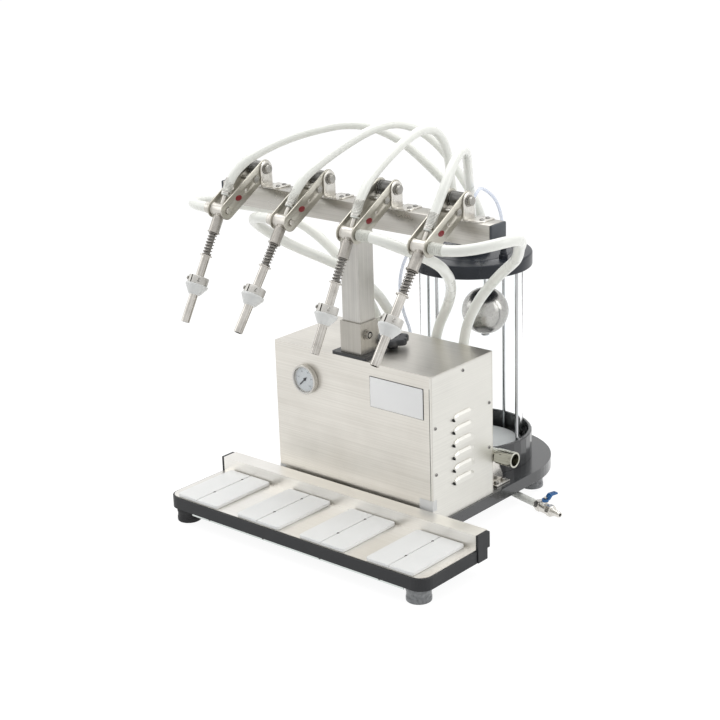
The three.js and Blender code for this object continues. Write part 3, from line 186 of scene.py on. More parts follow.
def table_top():
    half = table_half
    mesh = bpy.data.meshes.new("floor")
    corners = [(-half, -half, 0), (half, -half, 0), (half, half, 0), (-half, half, 0)]
    mesh.from_pydata(corners, [], [(0, 1, 2, 3)])
    material, tree, matt = new_material("table_white", {"Base Color": table_white, "Roughness": 0.6})
    glow = add_node(tree, "ShaderNodeEmission", {"Strength": table_glow})
    share = add_node(tree, "ShaderNodeMath", {1: table_glow_share}, "MULTIPLY")
    link(tree, looking_rays(tree), share.inputs[0])
    surface = mix_shaders(tree, share.outputs[0], matt, glow)
    link(tree, surface, tree.nodes["Material Output"].inputs["Surface"])
    mesh.materials.append(material)
    floor = bpy.data.objects.new("floor", mesh)
    scene.collection.objects.link(floor)


table_top()

# Black plates: the tray plate with its two cheeks, and the base plate with the drain block
# Both are milled from 22 mm black plastic sheet, with a fine matt face and slightly paler edges.
# The base plate is screwed to the tray plate and to the drain block from below.


def node_group(name, inputs, outputs):
    group = bpy.data.node_groups.new(name, "ShaderNodeTree")
    for label, kind, value in inputs:
        socket = group.interface.new_socket(label, in_out="INPUT", socket_type=kind)
        socket.default_value = value
    for label in outputs:
        group.interface.new_socket(label, in_out="OUTPUT", socket_type="NodeSocketFloat")
    return group, group.nodes.new("NodeGroupInput"), group.nodes.new("NodeGroupOutput")


def add_group(tree, group, values):
    node = tree.nodes.new("ShaderNodeGroup")
    node.node_tree = group
    return set_inputs(node, values)


# Grain: fine specks over slow clouds, for moulded and milled plastic and for rubber
grain_group, grain_in, grain_out = node_group(
    "moulded_grain",
    [
        ("Vector", "NodeSocketVector", (0, 0, 0)), ("Speck", "NodeSocketFloat", 2500),
        ("Cloud", "NodeSocketFloat", 25),
    ],
    ["Clouds", "Height"],
)


def build_grain():
    tree = grain_group
    for detail, size, result in ((4, "Cloud", "Clouds"), (2, "Speck", "Height")):
        noise = add_node(tree, "ShaderNodeTexNoise", {"Detail": detail})
        link(tree, grain_in.outputs["Vector"], noise.inputs["Vector"])
        link(tree, grain_in.outputs[size], noise.inputs["Scale"])
        link(tree, noise.outputs["Fac"], grain_out.inputs[result])


build_grain()
noise_low, noise_high = 0.3, 0.7
eased_from, sharp_from = 35, 32


def blend_range(tree, source, low, high):
    limits = {"From Min": noise_low, "From Max": noise_high, "To Min": low, "To Max": high}
    ramp = add_node(tree, "ShaderNodeMapRange", limits)
    link(tree, source, ramp.inputs["Value"])
    return ramp.outputs["Result"]


def blend_colors(tree, source, first, second):
    mix = tree.nodes.new("ShaderNodeMix")
    mix.data_type = "RGBA"
    mix.inputs["A"].default_value = (*first, 1)
    mix.inputs["B"].default_value = (*second, 1)
    link(tree, source, mix.inputs["Factor"])
    return mix.outputs["Result"]


def raise_bumps(tree, shader, height, depth, strength):
    bump = add_node(tree, "ShaderNodeBump", {"Distance": depth, "Strength": strength})
    link(tree, height, bump.inputs["Height"])
    link(tree, bump.outputs["Normal"], shader.inputs["Normal"])


def plastic(name, first, second, smooth, rough, speck=2500, cloud=25, depth=0.00005, strength=0.3, coat=0):
    material, tree, shader = new_material(name, {"Coat Weight": coat})
    where = add_node(tree, "ShaderNodeTexCoord")
    grain = add_group(tree, grain_group, {"Speck": speck, "Cloud": cloud})
    link(tree, where.outputs["Object"], grain.inputs["Vector"])
    clouds = grain.outputs["Clouds"]
    link(tree, blend_colors(tree, clouds, first, second), shader.inputs["Base Color"])
    link(tree, blend_range(tree, clouds, smooth, rough), shader.inputs["Roughness"])
    raise_bumps(tree, shader, grain.outputs["Height"], depth, strength)
    return material


def tune(material, values):
    set_inputs(material.node_tree.nodes["Principled BSDF"], values)


def ease_edges(piece, width):
    bevel = piece.modifiers.new("eased_edges", "BEVEL")
    bevel.width = width
    bevel.segments = 2
    bevel.limit_method = "ANGLE"
    bevel.angle_limit = math.radians(eased_from)
    bevel.harden_normals = True
    bevel.miter_outer = "MITER_ARC"


def smooth_faces(mesh):
    for polygon in mesh.polygons:
        polygon.use_smooth = True
    mesh.set_sharp_from_angle(angle=math.radians(sharp_from))


def dress(node, material, edge):
    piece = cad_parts[node]
    piece.data.materials.clear()
    piece.data.materials.append(material)
    smooth_faces(piece.data)
    ease_edges(piece, edge)


black_sheet = plastic("black_sheet", (0.018, 0.019, 0.021), (0.028, 0.029, 0.031), 0.42, 0.55)
glossy_sheet = plastic(
    "glossy_sheet", (0.022, 0.024, 0.026), (0.034, 0.036, 0.039), 0.16, 0.28, 2500, 25, 0.00001, 0.15,
    0.5,
)
tune(black_sheet, {"Specular IOR Level": 0.35})
dress("tray_frame", black_sheet, 0.0008)
dress("base_plate", glossy_sheet, 0.0008)

# Feet: round rubber pads, black under the left side and worn grey under the right
# Each is a turned pad with rounded edges, a waist from its mould and a screw from below.
foot_radius = 0.022
foot_height = 0.0267
foot_bore = 0.008
foot_bore_depth = 0.012
foot_round = 0.0022
foot_waist = 0.0009


def revolve(profile, steps=48):
    points, faces = [], []
    rings = []
    for radius, height in profile:
        if radius == 0:
            rings.append([len(points)])
            points.append((0, 0, height))
            continue
        rings.append(list(range(len(points), len(points) + steps)))
        for k in range(steps):
            turn = 2 * math.pi * k / steps
            points.append((radius * math.cos(turn), radius * math.sin(turn), height))
    for lower, upper in zip(rings, rings[1:]):
        for k in range(steps):
            after = (k + 1) % steps
            if len(lower) == 1:
                faces.append((lower[0], upper[after], upper[k]))
            elif len(upper) == 1:
                faces.append((lower[k], lower[after], upper[0]))
            else:
                faces.append((lower[k], lower[after], upper[after], upper[k]))
    return points, faces


def moved(form, matrix):
    points, faces = form
    return [tuple(matrix @ Vector(p)) for p in points], faces


def shift(x, y, z):
    return Matrix.Translation((x, y, z))


def rounded(profile, radius, steps=3, closed=False):
    result = []
    last = len(profile) - 1
    for k, (x, y) in enumerate(profile):
        if not closed and k in (0, last):
            result.append((x, y))
            continue
        here = Vector((x, y))
        back = Vector(profile[k - 1]) - here
        ahead = Vector(profile[(k + 1) % len(profile)]) - here
        reach = min(radius, back.length * 0.45, ahead.length * 0.45)
        start = here + back.normalized() * reach
        end = here + ahead.normalized() * reach
        for s in range(steps + 1):
            t = s / steps
            corner = start * (1 - t) ** 2 + here * 2 * t * (1 - t) + end * t ** 2
            result.append((corner.x, corner.y))
    return result


def turned(profile, ease, steps=48):
    return revolve(rounded(profile, ease), steps)


# The section of a ring, closed: between two radii and two heights
def hoop(inner, outer, bottom, top):
    return [(inner, bottom), (outer, bottom), (outer, top), (inner, top), (inner, bottom)]


def make_piece(name, parts, body, stands_for=()):
    mesh = bpy.data.meshes.new(name)
    points, faces, marks, materials = [], [], [], []
    for form, material in parts:
        if material not in materials:
            materials.append(material)
        start = len(points)
        points += form[0]
        faces += [tuple(start + k for k in face) for face in form[1]]
        marks += [materials.index(material)] * len(form[1])
    mesh.from_pydata(points, [], faces)
    for material in materials:
        mesh.materials.append(material)
    mesh.polygons.foreach_set("material_index", marks)
    fixer = bmesh.new()
    fixer.from_mesh(mesh)
    bmesh.ops.recalc_face_normals(fixer, faces=fixer.faces)
    fixer.to_mesh(mesh)
    fixer.free()
    smooth_faces(mesh)
    piece = bpy.data.objects.new(name, mesh)
    scene.collection.objects.link(piece)
    if body:
        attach(piece, body)
    if stands_for:
        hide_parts(*stands_for)
    return piece


def middle_of(node):
    low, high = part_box(node)
    return (low + high) / 2


black_rubber = plastic(
    "black_rubber", (0.012, 0.012, 0.013), (0.03, 0.03, 0.031), 0.6, 0.85, 900, 60, 0.0002, 0.5,
)
worn_rubber = plastic(
    "worn_rubber", (0.05, 0.053, 0.056), (0.38, 0.39, 0.40), 0.22, 0.5, 700, 150, 0.0003, 0.6,
)
waist_radius = foot_radius - foot_waist
foot_profile = [
    (0, foot_bore_depth), (foot_bore, foot_bore_depth), (foot_bore, 0.0), (foot_radius, 0.0),
    (foot_radius, foot_height * 0.30), (waist_radius, foot_height * 0.36),
    (waist_radius, foot_height * 0.64), (foot_radius, foot_height * 0.70),
    (foot_radius, foot_height), (0, foot_height),
]
feet = {
    "foot_front_left": ("black_rubber", black_rubber),
    "foot_front_right": ("grey_rubber", worn_rubber),
    "foot_rear_left": ("black_rubber", black_rubber),
    "foot_rear_right": ("grey_rubber", worn_rubber),
}
for node, (slot, rubber) in feet.items():
    centre = middle_of(node)
    pad = turned(foot_profile, foot_round, 56)
    place = shift(centre.x, centre.y, 0)
    make_piece(f"{node}_pad", [(moved(pad, place), rubber)], "root", [node])

# Tray pan with its rail, and the strip under the tray
# One bent sheet of brushed stainless lies on the plate and rises into a box rail at the rear.
# A thin polished strip is screwed under the plate, just behind its front edge.

# Brushed steel: long fine scratches over slow cloudy marks
brushed_group, brushed_in, brushed_out = node_group(
    "brushed_steel",
    [
        ("Vector", "NodeSocketVector", (0, 0, 0)), ("Stretch", "NodeSocketVector", (4, 900, 900)),
        ("Size", "NodeSocketFloat", 14),
    ],
    ["Tone", "Marks", "Height"],
)


def build_brushed():
    tree = brushed_group
    stretch = add_node(tree, "ShaderNodeVectorMath", operation="MULTIPLY")
    streaks = add_node(tree, "ShaderNodeTexNoise", {"Scale": 1, "Detail": 3})
    marks = add_node(tree, "ShaderNodeTexNoise", {"Detail": 5, "Roughness": 0.6})
    both = add_node(tree, "ShaderNodeMath", operation="ADD")
    half = add_node(tree, "ShaderNodeMath", {1: 0.5}, "MULTIPLY")
    link(tree, brushed_in.outputs["Vector"], stretch.inputs[0])
    link(tree, brushed_in.outputs["Stretch"], stretch.inputs[1])
    link(tree, stretch.outputs["Vector"], streaks.inputs["Vector"])
    link(tree, brushed_in.outputs["Vector"], marks.inputs["Vector"])
    link(tree, brushed_in.outputs["Size"], marks.inputs["Scale"])
    link(tree, streaks.outputs["Fac"], both.inputs[0])
    link(tree, marks.outputs["Fac"], both.inputs[1])
    link(tree, both.outputs[0], half.inputs[0])
    link(tree, half.outputs[0], brushed_out.inputs["Tone"])
    link(tree, marks.outputs["Fac"], brushed_out.inputs["Marks"])
    link(tree, streaks.outputs["Fac"], brushed_out.inputs["Height"])


build_brushed()
along_x = (4, 900, 900)
along_y = (900, 4, 900)
along_z = (900, 900, 4)
every_way = (700, 700, 700)
rightwards, leftwards, frontwards, upwards = (1, 0, 0), (-1, 0, 0), (0, -1, 0), (0, 0, 1)
origin = (0, 0, 0)


def steel(name, dark, light, stretch, smooth, rough, size=14, depth=0.00002, strength=0.2, lean=0.0):
    material, tree, shader = new_material(name, {"Metallic": 1})
    where = add_node(tree, "ShaderNodeTexCoord")
    brushed = add_group(tree, brushed_group, {"Stretch": stretch, "Size": size})
    upright = add_node(tree, "ShaderNodeVectorRotate", {"Angle": lean})
    upright.rotation_type = "X_AXIS"
    link(tree, where.outputs["Object"], upright.inputs["Vector"])
    link(tree, upright.outputs["Vector"], brushed.inputs["Vector"])
    tone = blend_range(tree, brushed.outputs["Tone"], 0, 1)
    link(tree, blend_colors(tree, tone, dark, light), shader.inputs["Base Color"])
    link(tree, blend_range(tree, brushed.outputs["Marks"], smooth, rough), shader.inputs["Roughness"])
    raise_bumps(tree, shader, brushed.outputs["Height"], depth, strength)
    return material


pan_steel = steel(
    "pan_steel", (0.76, 0.74, 0.70), (0.88, 0.865, 0.83), along_x, 0.28, 0.42, 14, 0.00001, 0.12,
)
strip_steel = steel("strip_steel", (0.60, 0.64, 0.62), (0.74, 0.78, 0.76), along_x, 0.1, 0.22)
dress("tray_pan", pan_steel, 0.0006)


def slab(x, y, z, ease):
    corners = [(i, j, k) for i in x for j in y for k in z]
    sides = [(0, 1, 3, 2), (4, 6, 7, 5), (0, 4, 5, 1), (2, 3, 7, 6), (0, 2, 6, 4), (1, 5, 7, 3)]
    shaper = bmesh.new()
    made = [shaper.verts.new(corner) for corner in corners]
    for side in sides:
        shaper.faces.new([made[k] for k in side])
    if ease:
        bmesh.ops.bevel(shaper, geom=shaper.edges[:], offset=ease, segments=2, profile=0.5, affect="EDGES")
    shaper.verts.index_update()
    points = [tuple(vert.co) for vert in shaper.verts]
    faces = [tuple(vert.index for vert in face.verts) for face in shaper.faces]
    shaper.free()
    return points, faces


def in_layout(form):
    return moved(form, Matrix.Translation(layout))


def placed(start, along):
    return Matrix.Translation(start) @ Vector(along).to_track_quat("Z", "Y").to_matrix().to_4x4()


def rod(radius, length, ease=0.0005, steps=32):
    return turned([(0, 0), (radius, 0), (radius, length), (0, length)], ease, steps)


screw_steel = steel("screw_steel", (0.20, 0.195, 0.19), (0.36, 0.35, 0.335), every_way, 0.2, 0.34)
# Near-black painted shade for the insides of screw recesses, seams, louvre ends and screw sockets
painted_recess_shade = plastic("painted_recess_shade", (0.004, 0.004, 0.004), (0.01, 0.01, 0.01), 0.6, 0.8)
screw_sunk = 0.001
strip_screw_radius, strip_screw_high = 0.0024, 0.0014


def cross_screw(place, radius, height):
    dome = [
        (0, -screw_sunk), (radius, -screw_sunk), (radius, height * 0.35),
        (radius * 0.75, height * 0.85), (0, height),
    ]
    # The cross recess is two near-black blocks through the dome: painted shade in the slots
    arm, width, level = radius * 0.62, radius * 0.13, (height * 0.7, height * 1.04)
    cross = [((-arm, arm), (-width, width)), ((-width, width), (-arm, arm))]
    return [
        (moved(turned(dome, radius * 0.2, 24), place), screw_steel),
        *((moved(slab(x, y, level, 0), place), painted_recess_shade) for x, y in cross),
    ]


strip_x, strip_y, strip_z = (-0.245, 0.252), (0.008, 0.0095), (0.0185, 0.0268)
strip_screw_xs, strip_screw_y, strip_screw_z = (-0.2, -0.067, 0.067, 0.2), 0.0082, 0.0226
strip = slab(strip_x, strip_y, strip_z, 0.0003)
make_piece("tray_strip", [(in_layout(strip), strip_steel)], "root")
strip_screws = []
for x in strip_screw_xs:
    place = placed(spot(x, strip_screw_y, strip_screw_z), frontwards)
    strip_screws += cross_screw(place, strip_screw_radius, strip_screw_high)
make_piece("tray_strip_screws", strip_screws, "root")

# Bottle rests: four white slabs with a slit down the middle and two screws in each slit
# Milled from white polyethylene, slightly translucent, with eased edges and faint knife marks.
white_slab = plastic(
    "white_slab", (0.86, 0.865, 0.85), (0.93, 0.932, 0.92), 0.35, 0.5, 1800, 30, 0.00004, 0.3,
)
rest_screw_y = (0.049, 0.1206)
rest_screw_radius, rest_screw_high = 0.0031, 0.0016
slit_depth = 0.0012
rest_screws = []
for number in (1, 2, 3, 4):
    node = f"bottle_rest_{number}"
    dress(node, white_slab, 0.0007)
    low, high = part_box(node)
    for y in rest_screw_y:
        place = placed(Vector(((low.x + high.x) / 2, layout.y + y, high.z - slit_depth)), upwards)
        rest_screws += cross_screw(place, rest_screw_radius, rest_screw_high)
make_piece("rest_screws", rest_screws, "root")

# Pump case: a bent cover over front, top and rear, with a panel at each side
# Brushed stainless sheet with hand marks. The right panel's folded lip meets the front in a seam
# whose dark inside is painted shade, six pressed louvres let the pump's air out, and five cross-head screws
# hold the panel.
case_steel = steel(
    "case_steel", (0.585, 0.56, 0.51), (0.775, 0.75, 0.70), along_x, 0.3, 0.44, 9, 0.000004, 0.08,
)
panel_steel = steel(
    "panel_steel", (0.66, 0.65, 0.61), (0.78, 0.77, 0.725), along_y, 0.4, 0.52, 9, 0.000004, 0.08,
)
dress("case_cover", case_steel, 0.0005)
dress("case_side_right", panel_steel, 0.0004)
dress("case_side_left", panel_steel, 0.0004)
case_low, case_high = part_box("case_cover")
case_front = case_low.y
case_left = case_low.x
case_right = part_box("case_side_right")[0].x + 0.0015
case_foot = case_low.z
case_top = case_high.z
fold = 0.0032
seam = 0.0013
proud = 0.0004
tuck = 0.0002
seam_foot, seam_head, lip_head = 0.001, 0.022, 0.002
foot_seam_in, foot_seam_up = 0.003, 0.005


def case_seams():
    front = (case_front - proud / 2, case_front + tuck)
    left, foot = case_right - fold, case_foot + seam_foot
    foot_seam = case_foot + foot_seam_up
    lip_front = (case_front - proud, case_front + tuck)
    lip = slab((left, case_right), lip_front, (foot, case_top - lip_head), 0.00015)
    # Near-black strips in the seam beside the lip and along the foot: painted shade in the gaps
    seam_shade = slab((left - seam, left), front, (foot, case_top - seam_head), 0)
    foot_seam_shade = slab((case_left + foot_seam_in, left), front, (foot_seam, foot_seam + seam), 0)
    parts = [(lip, panel_steel), (seam_shade, painted_recess_shade), (foot_seam_shade, painted_recess_shade)]
    make_piece("case_front_seams", parts, "root")


case_seams()
panel_screw_radius, panel_screw_high = 0.0033, 0.0018
panel_screw_places = [
    (0.2746, 0.3089), (0.3505, 0.2268), (0.3497, 0.142), (0.1957, 0.225), (0.1963, 0.1394),
]
panel_screws = []
for y, z in panel_screw_places:
    place = placed(Vector((case_right, layout.y + y, z)), rightwards)
    panel_screws += cross_screw(place, panel_screw_radius, panel_screw_high)
make_piece("panel_screws", panel_screws, "root")

# The louvres' front ends are open, and the shade inside each is painted as a near-black wedge, outlined in
# millimetres from the panel's face
louvre_count = 6
louvre_front, louvre_foot, louvre_pitch = 0.244, 0.0552, 0.0237
louvre_outline = ((-0.4, 0.1), (4.4, 0.1), (3.9, 2.6), (2.0, 4.4), (-0.4, 5.2))
louvre_reach = (-0.3, 2.4)


# The side faces between two outlines that have as many points each
def walls(count):
    return [(k, (k + 1) % count, (k + 1) % count + count, k + count) for k in range(count)]


def louvre_shade_wedge(z):
    points = [
        (case_right + x / 1000, layout.y + louvre_front + y / 1000, z + h / 1000)
        for y in louvre_reach for x, h in louvre_outline
    ]
    count = len(louvre_outline)
    return points, [*walls(count), tuple(range(count)), tuple(range(count, 2 * count))]


louvre_levels = [case_foot + louvre_foot + k * louvre_pitch for k in range(louvre_count)]
louvre_shade_parts = [(louvre_shade_wedge(z), painted_recess_shade) for z in louvre_levels]
make_piece("louvre_painted_shade", louvre_shade_parts, "root")

# Corner tapes: milky film wrapped round the case's lower front corners
# Each is one bent piece of translucent film, a fifth of a millimetre thick, stuck on two faces.
milky_film = plastic("milky_film", (0.90, 0.91, 0.90), (0.96, 0.965, 0.96), 0.3, 0.5, 900, 60)
tune(milky_film, {"Alpha": 0.8})
film = 0.0002


def corner_tape(name, corner_x, inward, along_front, along_side, bottom, top):
    y = case_front - proud
    inner = case_front + along_side
    front_end = corner_x + inward * along_front
    outside = corner_x - inward * film
    line = [
        (front_end, y), (corner_x, y), (corner_x, inner), (outside, inner), (outside, y - film),
        (front_end, y - film),
    ]
    points = [(x, y, case_foot + z) for z in (bottom, top) for x, y in line]
    faces = walls(len(line))
    for end in (0, len(line)):
        faces += [(end, end + 1, end + 4, end + 5), (end + 1, end + 2, end + 3, end + 4)]
    make_piece(name, [((points, faces), milky_film)], "root")


corner_tape("corner_tape_right", case_right, -1, 0.029, 0.011, 0.024, 0.044)
corner_tape("corner_tape_left", case_left, 1, 0.015, 0.012, 0.010, 0.029)

# Front plate: a blank white plate, glued to the case's front, with a thin dark rim of painted shade
# Enamelled sheet about a millimetre thick, with a white face on a black backing whose rim stands in for the
# shade along the plate's edges.
plate_white = plastic(
    "plate_white", (0.95, 0.95, 0.945), (0.975, 0.975, 0.97), 0.3, 0.4, 2500, 20, 0.00002, 0.15, 0.1,
)
plate_left, plate_right = layout.x + 0.0395, layout.x + 0.1585
plate_bottom, plate_top = 0.2400, 0.2966
# The width of the black rim round the white face: painted shade along the plate's edges
edge_shade = 0.0008
plate_thick, enamel_front, enamel_rear = 0.0009, 0.0012, 0.0008


def front_plate():
    x, z = (plate_left, plate_right), (plate_bottom, plate_top)
    back = slab(x, (case_front - plate_thick, case_front), z, 0.0002)
    inner_x, inner_z = (x[0] + edge_shade, x[1] - edge_shade), (z[0] + edge_shade, z[1] - edge_shade)
    face = slab(inner_x, (case_front - enamel_front, case_front - enamel_rear), inner_z, 0.0001)
    make_piece("front_plate", [(back, black_sheet), (face, plate_white)], "root")


front_plate()

# Vacuum gauge: steel housing with a rolled bezel, printed dial, black needle and glass lens
# The housing is pressed stainless, pushed through the case's front and held from behind.
gauge_steel = steel("gauge_steel", (0.44, 0.43, 0.40), (0.62, 0.605, 0.575), every_way, 0.2, 0.3)
dial_grey = plastic("dial_grey", (0.60, 0.62, 0.64), (0.70, 0.715, 0.73), 0.5, 0.6, 1500, 40, 0.00001, 0.1)
dial_ink = plastic("dial_ink", (0.16, 0.165, 0.18), (0.22, 0.225, 0.24), 0.5, 0.6)
needle_black = plastic("needle_black", (0.05, 0.05, 0.055), (0.07, 0.07, 0.075), 0.35, 0.45)


def clear_glass(name, tint, roughness, bend):
    values = {"Base Color": (*tint, 1), "Roughness": roughness, "Transmission Weight": 1, "IOR": bend}
    return new_material(name, values)[0]


lens_glass = clear_glass("lens_glass", (0.97, 0.98, 0.98), 0.02, 1.08)
dress("gauge_needle", needle_black, 0.0001)
gauge_centre = middle_of("gauge_housing")
gauge_turn = Matrix.Rotation(math.pi / 2, 4, "X")
gauge_sunk = 0.0003
gauge_place = shift(gauge_centre.x, case_front - gauge_sunk, gauge_centre.z) @ gauge_turn
gauge_radius = 0.0275
gauge_proud = 0.010
bezel_width = 0.0035
dial_level = 0.005
dial_radius = gauge_radius - bezel_width
zero_turn = 225
full_turn = -45
dial_steps, numbered = 50, 10
gauge_depth, gauge_neck = 0.020, 0.022
bezel_lip, ledge_drop, ledge_in = 0.0012, 0.0016, 0.0006
dial_gap, dial_hole, dial_thick = 0.0007, 0.0015, 0.0002
pin_radius, pin_height = 0.0012, 0.0024
lens_low, lens_high = 0.0079, 0.0088
ink = 0.0001
mark_inset, number_inset, number_height_mm = 0.0022, 0.0085, 4.2
long_mark, short_mark = (0.0034, 0.0003), (0.0018, 0.00014)


def dial_marks():
    parts = []
    outer, reach = dial_radius - mark_inset, dial_radius - number_inset
    turns = [
        math.radians(zero_turn + (full_turn - zero_turn) * k / dial_steps) for k in range(dial_steps + 1)
    ]
    for k, turn in enumerate(turns):
        length, half = short_mark if k % numbered else long_mark
        mark = slab((outer - length, outer), (-half, half), (0, ink), 0)
        place = gauge_place @ Matrix.Rotation(turn, 4, "Z") @ shift(0, 0, dial_level)
        parts.append((moved(mark, place), dial_ink))
    for k, turn in enumerate(turns[::numbered]):
        word = bpy.data.curves.new("dial_number", "FONT")
        word.body = str(k * 20)
        word.size = number_height_mm
        word.align_x = word.align_y = "CENTER"
        drawn = bpy.data.objects.new("dial_number", word)
        mesh = bpy.data.meshes.new_from_object(drawn)
        form = [tuple(v.co / 1000) for v in mesh.vertices], [tuple(p.vertices) for p in mesh.polygons]
        at = shift(reach * math.cos(turn), reach * math.sin(turn), dial_level + ink)
        parts.append((moved(form, gauge_place @ at), dial_ink))
        bpy.data.objects.remove(drawn)
    return parts


def gauge():
    ledge, rim, back = dial_radius - ledge_in, dial_radius - dial_gap, dial_level - dial_thick
    housing = [
        (0, -gauge_depth), (gauge_neck, -gauge_depth), (gauge_neck, 0), (gauge_radius, 0),
        (gauge_radius, gauge_proud), (dial_radius, gauge_proud), (dial_radius, gauge_proud - bezel_lip),
        (ledge, gauge_proud - ledge_drop), (ledge, dial_level), (0, dial_level),
    ]
    shell = moved(turned(housing, 0.0012, 72), gauge_place)
    make_piece("gauge_case", [(shell, gauge_steel)], "root", ["gauge_housing"])
    face = revolve([(dial_hole, back), (dial_hole, dial_level), (rim, dial_level), (rim, back)], 64)
    dial = (moved(face, gauge_place @ shift(0, 0, ink / 2)), dial_grey)
    make_piece("gauge_dial", [dial, *dial_marks()], "root")
    pin = moved(rod(pin_radius, pin_height, 0.0003, 20), gauge_place @ shift(0, 0, dial_level))
    make_piece("gauge_pin", [(pin, needle_black)], "root")
    lens = turned([(0, lens_low), (rim, lens_low), (rim, lens_high), (0, lens_high)], 0.0002, 64)
    make_piece("gauge_lens", [(moved(lens, gauge_place), lens_glass)], "root")


gauge()

# Vacuum pump, unseen inside the case: a painted casting on a foot plate
# The motor and the pump head are cast and painted grey, and bolted to the foot plate.
pump_paint = plastic("pump_paint", (0.10, 0.11, 0.12), (0.16, 0.17, 0.18), 0.4, 0.6, 400, 30, 0.0003, 0.6)
dress("vacuum_pump", pump_paint, 0.001)

# Mast: a black flange, a stainless socket with its clamp bolt, and the square post
# The flange is moulded plastic, the socket and post are square tube with vertical brushing. The
# bolt presses on the post: a washer, a hexagon head and the shank's end show on the right side.
mast_steel = steel("mast_steel", (0.36, 0.35, 0.33), (0.58, 0.565, 0.53), along_z, 0.28, 0.42, 9)
socket_steel = steel("socket_steel", (0.33, 0.315, 0.285), (0.47, 0.45, 0.41), along_z, 0.28, 0.42, 9)
flange_black = plastic("flange_black", (0.014, 0.015, 0.017), (0.024, 0.025, 0.028), 0.3, 0.42)
bolt_steel = steel("bolt_steel", (0.24, 0.235, 0.22), (0.48, 0.465, 0.435), every_way, 0.16, 0.28, 60)
dress("mast_flange", flange_black, 0.001)
dress("mast_socket", socket_steel, 0.0006)
dress("mast_post", mast_steel, 0.0014)
socket_low, socket_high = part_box("mast_socket")
clamp_bolt_spot = Vector((socket_high.x - 0.0082, layout.y + 0.209, socket_low.z + 0.035))
clamp_washer_radius, clamp_washer_thick = 0.0098, 0.0024
clamp_hexagon_radius, clamp_hexagon_high = 0.0078, 0.0058
clamp_shank_radius, clamp_shank_high, clamp_shank_start = 0.0042, 0.0010, 0.0078
nut_lean = math.tan(math.radians(30))
nut_rim_share = 0.96
nut_edge = 0.0001


def loft(rings):
    steps = len(rings[0])
    points = [p for ring in rings for p in ring]
    faces = []
    for r in range(len(rings) - 1):
        for k in range(steps):
            after = (k + 1) % steps
            faces.append((r * steps + k, r * steps + after, (r + 1) * steps + after, (r + 1) * steps + k))
    faces.append(tuple(range(steps)))
    faces.append(tuple((len(rings) - 1) * steps + k for k in range(steps)))
    return points, faces


# A nut or bolt head: six flats, with the round chamfer of a turned corner
def hex_head(radius, height):
    steps = 48
    flat = radius * math.cos(math.pi / 6)
    rim_reach = flat * nut_rim_share
    foot, shoulder, rim = [], [], []
    for k in range(steps):
        turn = 2 * math.pi * k / steps
        reach = flat / math.cos((turn % (math.pi / 3)) - math.pi / 6)
        c, s = math.cos(turn), math.sin(turn)
        foot.append((reach * c, reach * s, 0))
        shoulder.append((reach * c, reach * s, height - nut_edge - (reach - rim_reach) * nut_lean))
        rim.append((rim_reach * c, rim_reach * s, height))
    return loft([foot, shoulder, rim])


def clamp_bolt():
    place = placed(clamp_bolt_spot, rightwards)
    forms = [
        rod(clamp_washer_radius, clamp_washer_thick, 0.0005, 40),
        moved(hex_head(clamp_hexagon_radius, clamp_hexagon_high), shift(0, 0, clamp_washer_thick)),
        moved(rod(clamp_shank_radius, clamp_shank_high, 0.0004, 28), shift(0, 0, clamp_shank_start)),
    ]
    parts = [(moved(form, place), bolt_steel) for form in forms]
    make_piece("socket_clamp_bolt", parts, "root")


clamp_bolt()

# Regulator knob: a six-lobed black hand knob on the case top
# Moulded in one piece with a turned hub below and a cap pressed into its middle.
knob_black = plastic("knob_black", (0.010, 0.011, 0.014), (0.02, 0.021, 0.025), 0.32, 0.45, 1400)
knob_radius = 0.031
knob_lobes = 6
knob_lobe_depth = 0.005
knob_bottom = case_top + 0.009
knob_thickness = 0.012
knob_cap_radius, knob_cap_high, knob_cap_sunk = 0.0085, 0.0018, 0.0014
shaft_radius, shaft_depth = 0.005, 0.0157
hub_foot, hub_shoulder, hub_high, hub_lift = 0.010, 0.0105, 0.0088, 0.0003


def lobed_ring(inset, height, steps):
    ring = []
    for k in range(steps):
        turn = 2 * math.pi * k / steps
        radius = knob_radius - knob_lobe_depth * (1 - math.cos(knob_lobes * turn)) / 2 - inset
        ring.append((radius * math.cos(turn), radius * math.sin(turn), height))
    return ring


def knob():
    low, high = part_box("vacuum_knob")
    middle = shift((low.x + high.x) / 2, (low.y + high.y) / 2, 0)
    grip = [
        (0.0030, 0), (0.0012, 0.0004), (0.0003, 0.0014), (0, 0.0030), (0, 0.0085), (0.0004, 0.0103),
        (0.0014, 0.0113), (0.0032, 0.0118), (0.009, knob_thickness), (0.013, knob_thickness),
        (0.0136, knob_thickness - 0.0008),
    ]
    body = loft([lobed_ring(inset, knob_bottom + height, 96) for inset, height in grip])
    cap_lift = shift(0, 0, knob_bottom + knob_thickness - knob_cap_sunk)
    cap = moved(rod(knob_cap_radius, knob_cap_high, 0.0008, 40), cap_lift)
    hub = [
        (0, -shaft_depth), (shaft_radius, -shaft_depth), (shaft_radius, 0), (hub_foot, 0),
        (hub_shoulder, hub_high),
        (0, hub_high),
    ]
    hub = moved(turned(hub, 0.0008, 40), shift(0, 0, case_top + hub_lift))
    parts = [(moved(form, middle), knob_black) for form in (body, cap, hub)]
    make_piece("regulator_knob", parts, "vacuum_knob", ["vacuum_knob"])


knob()

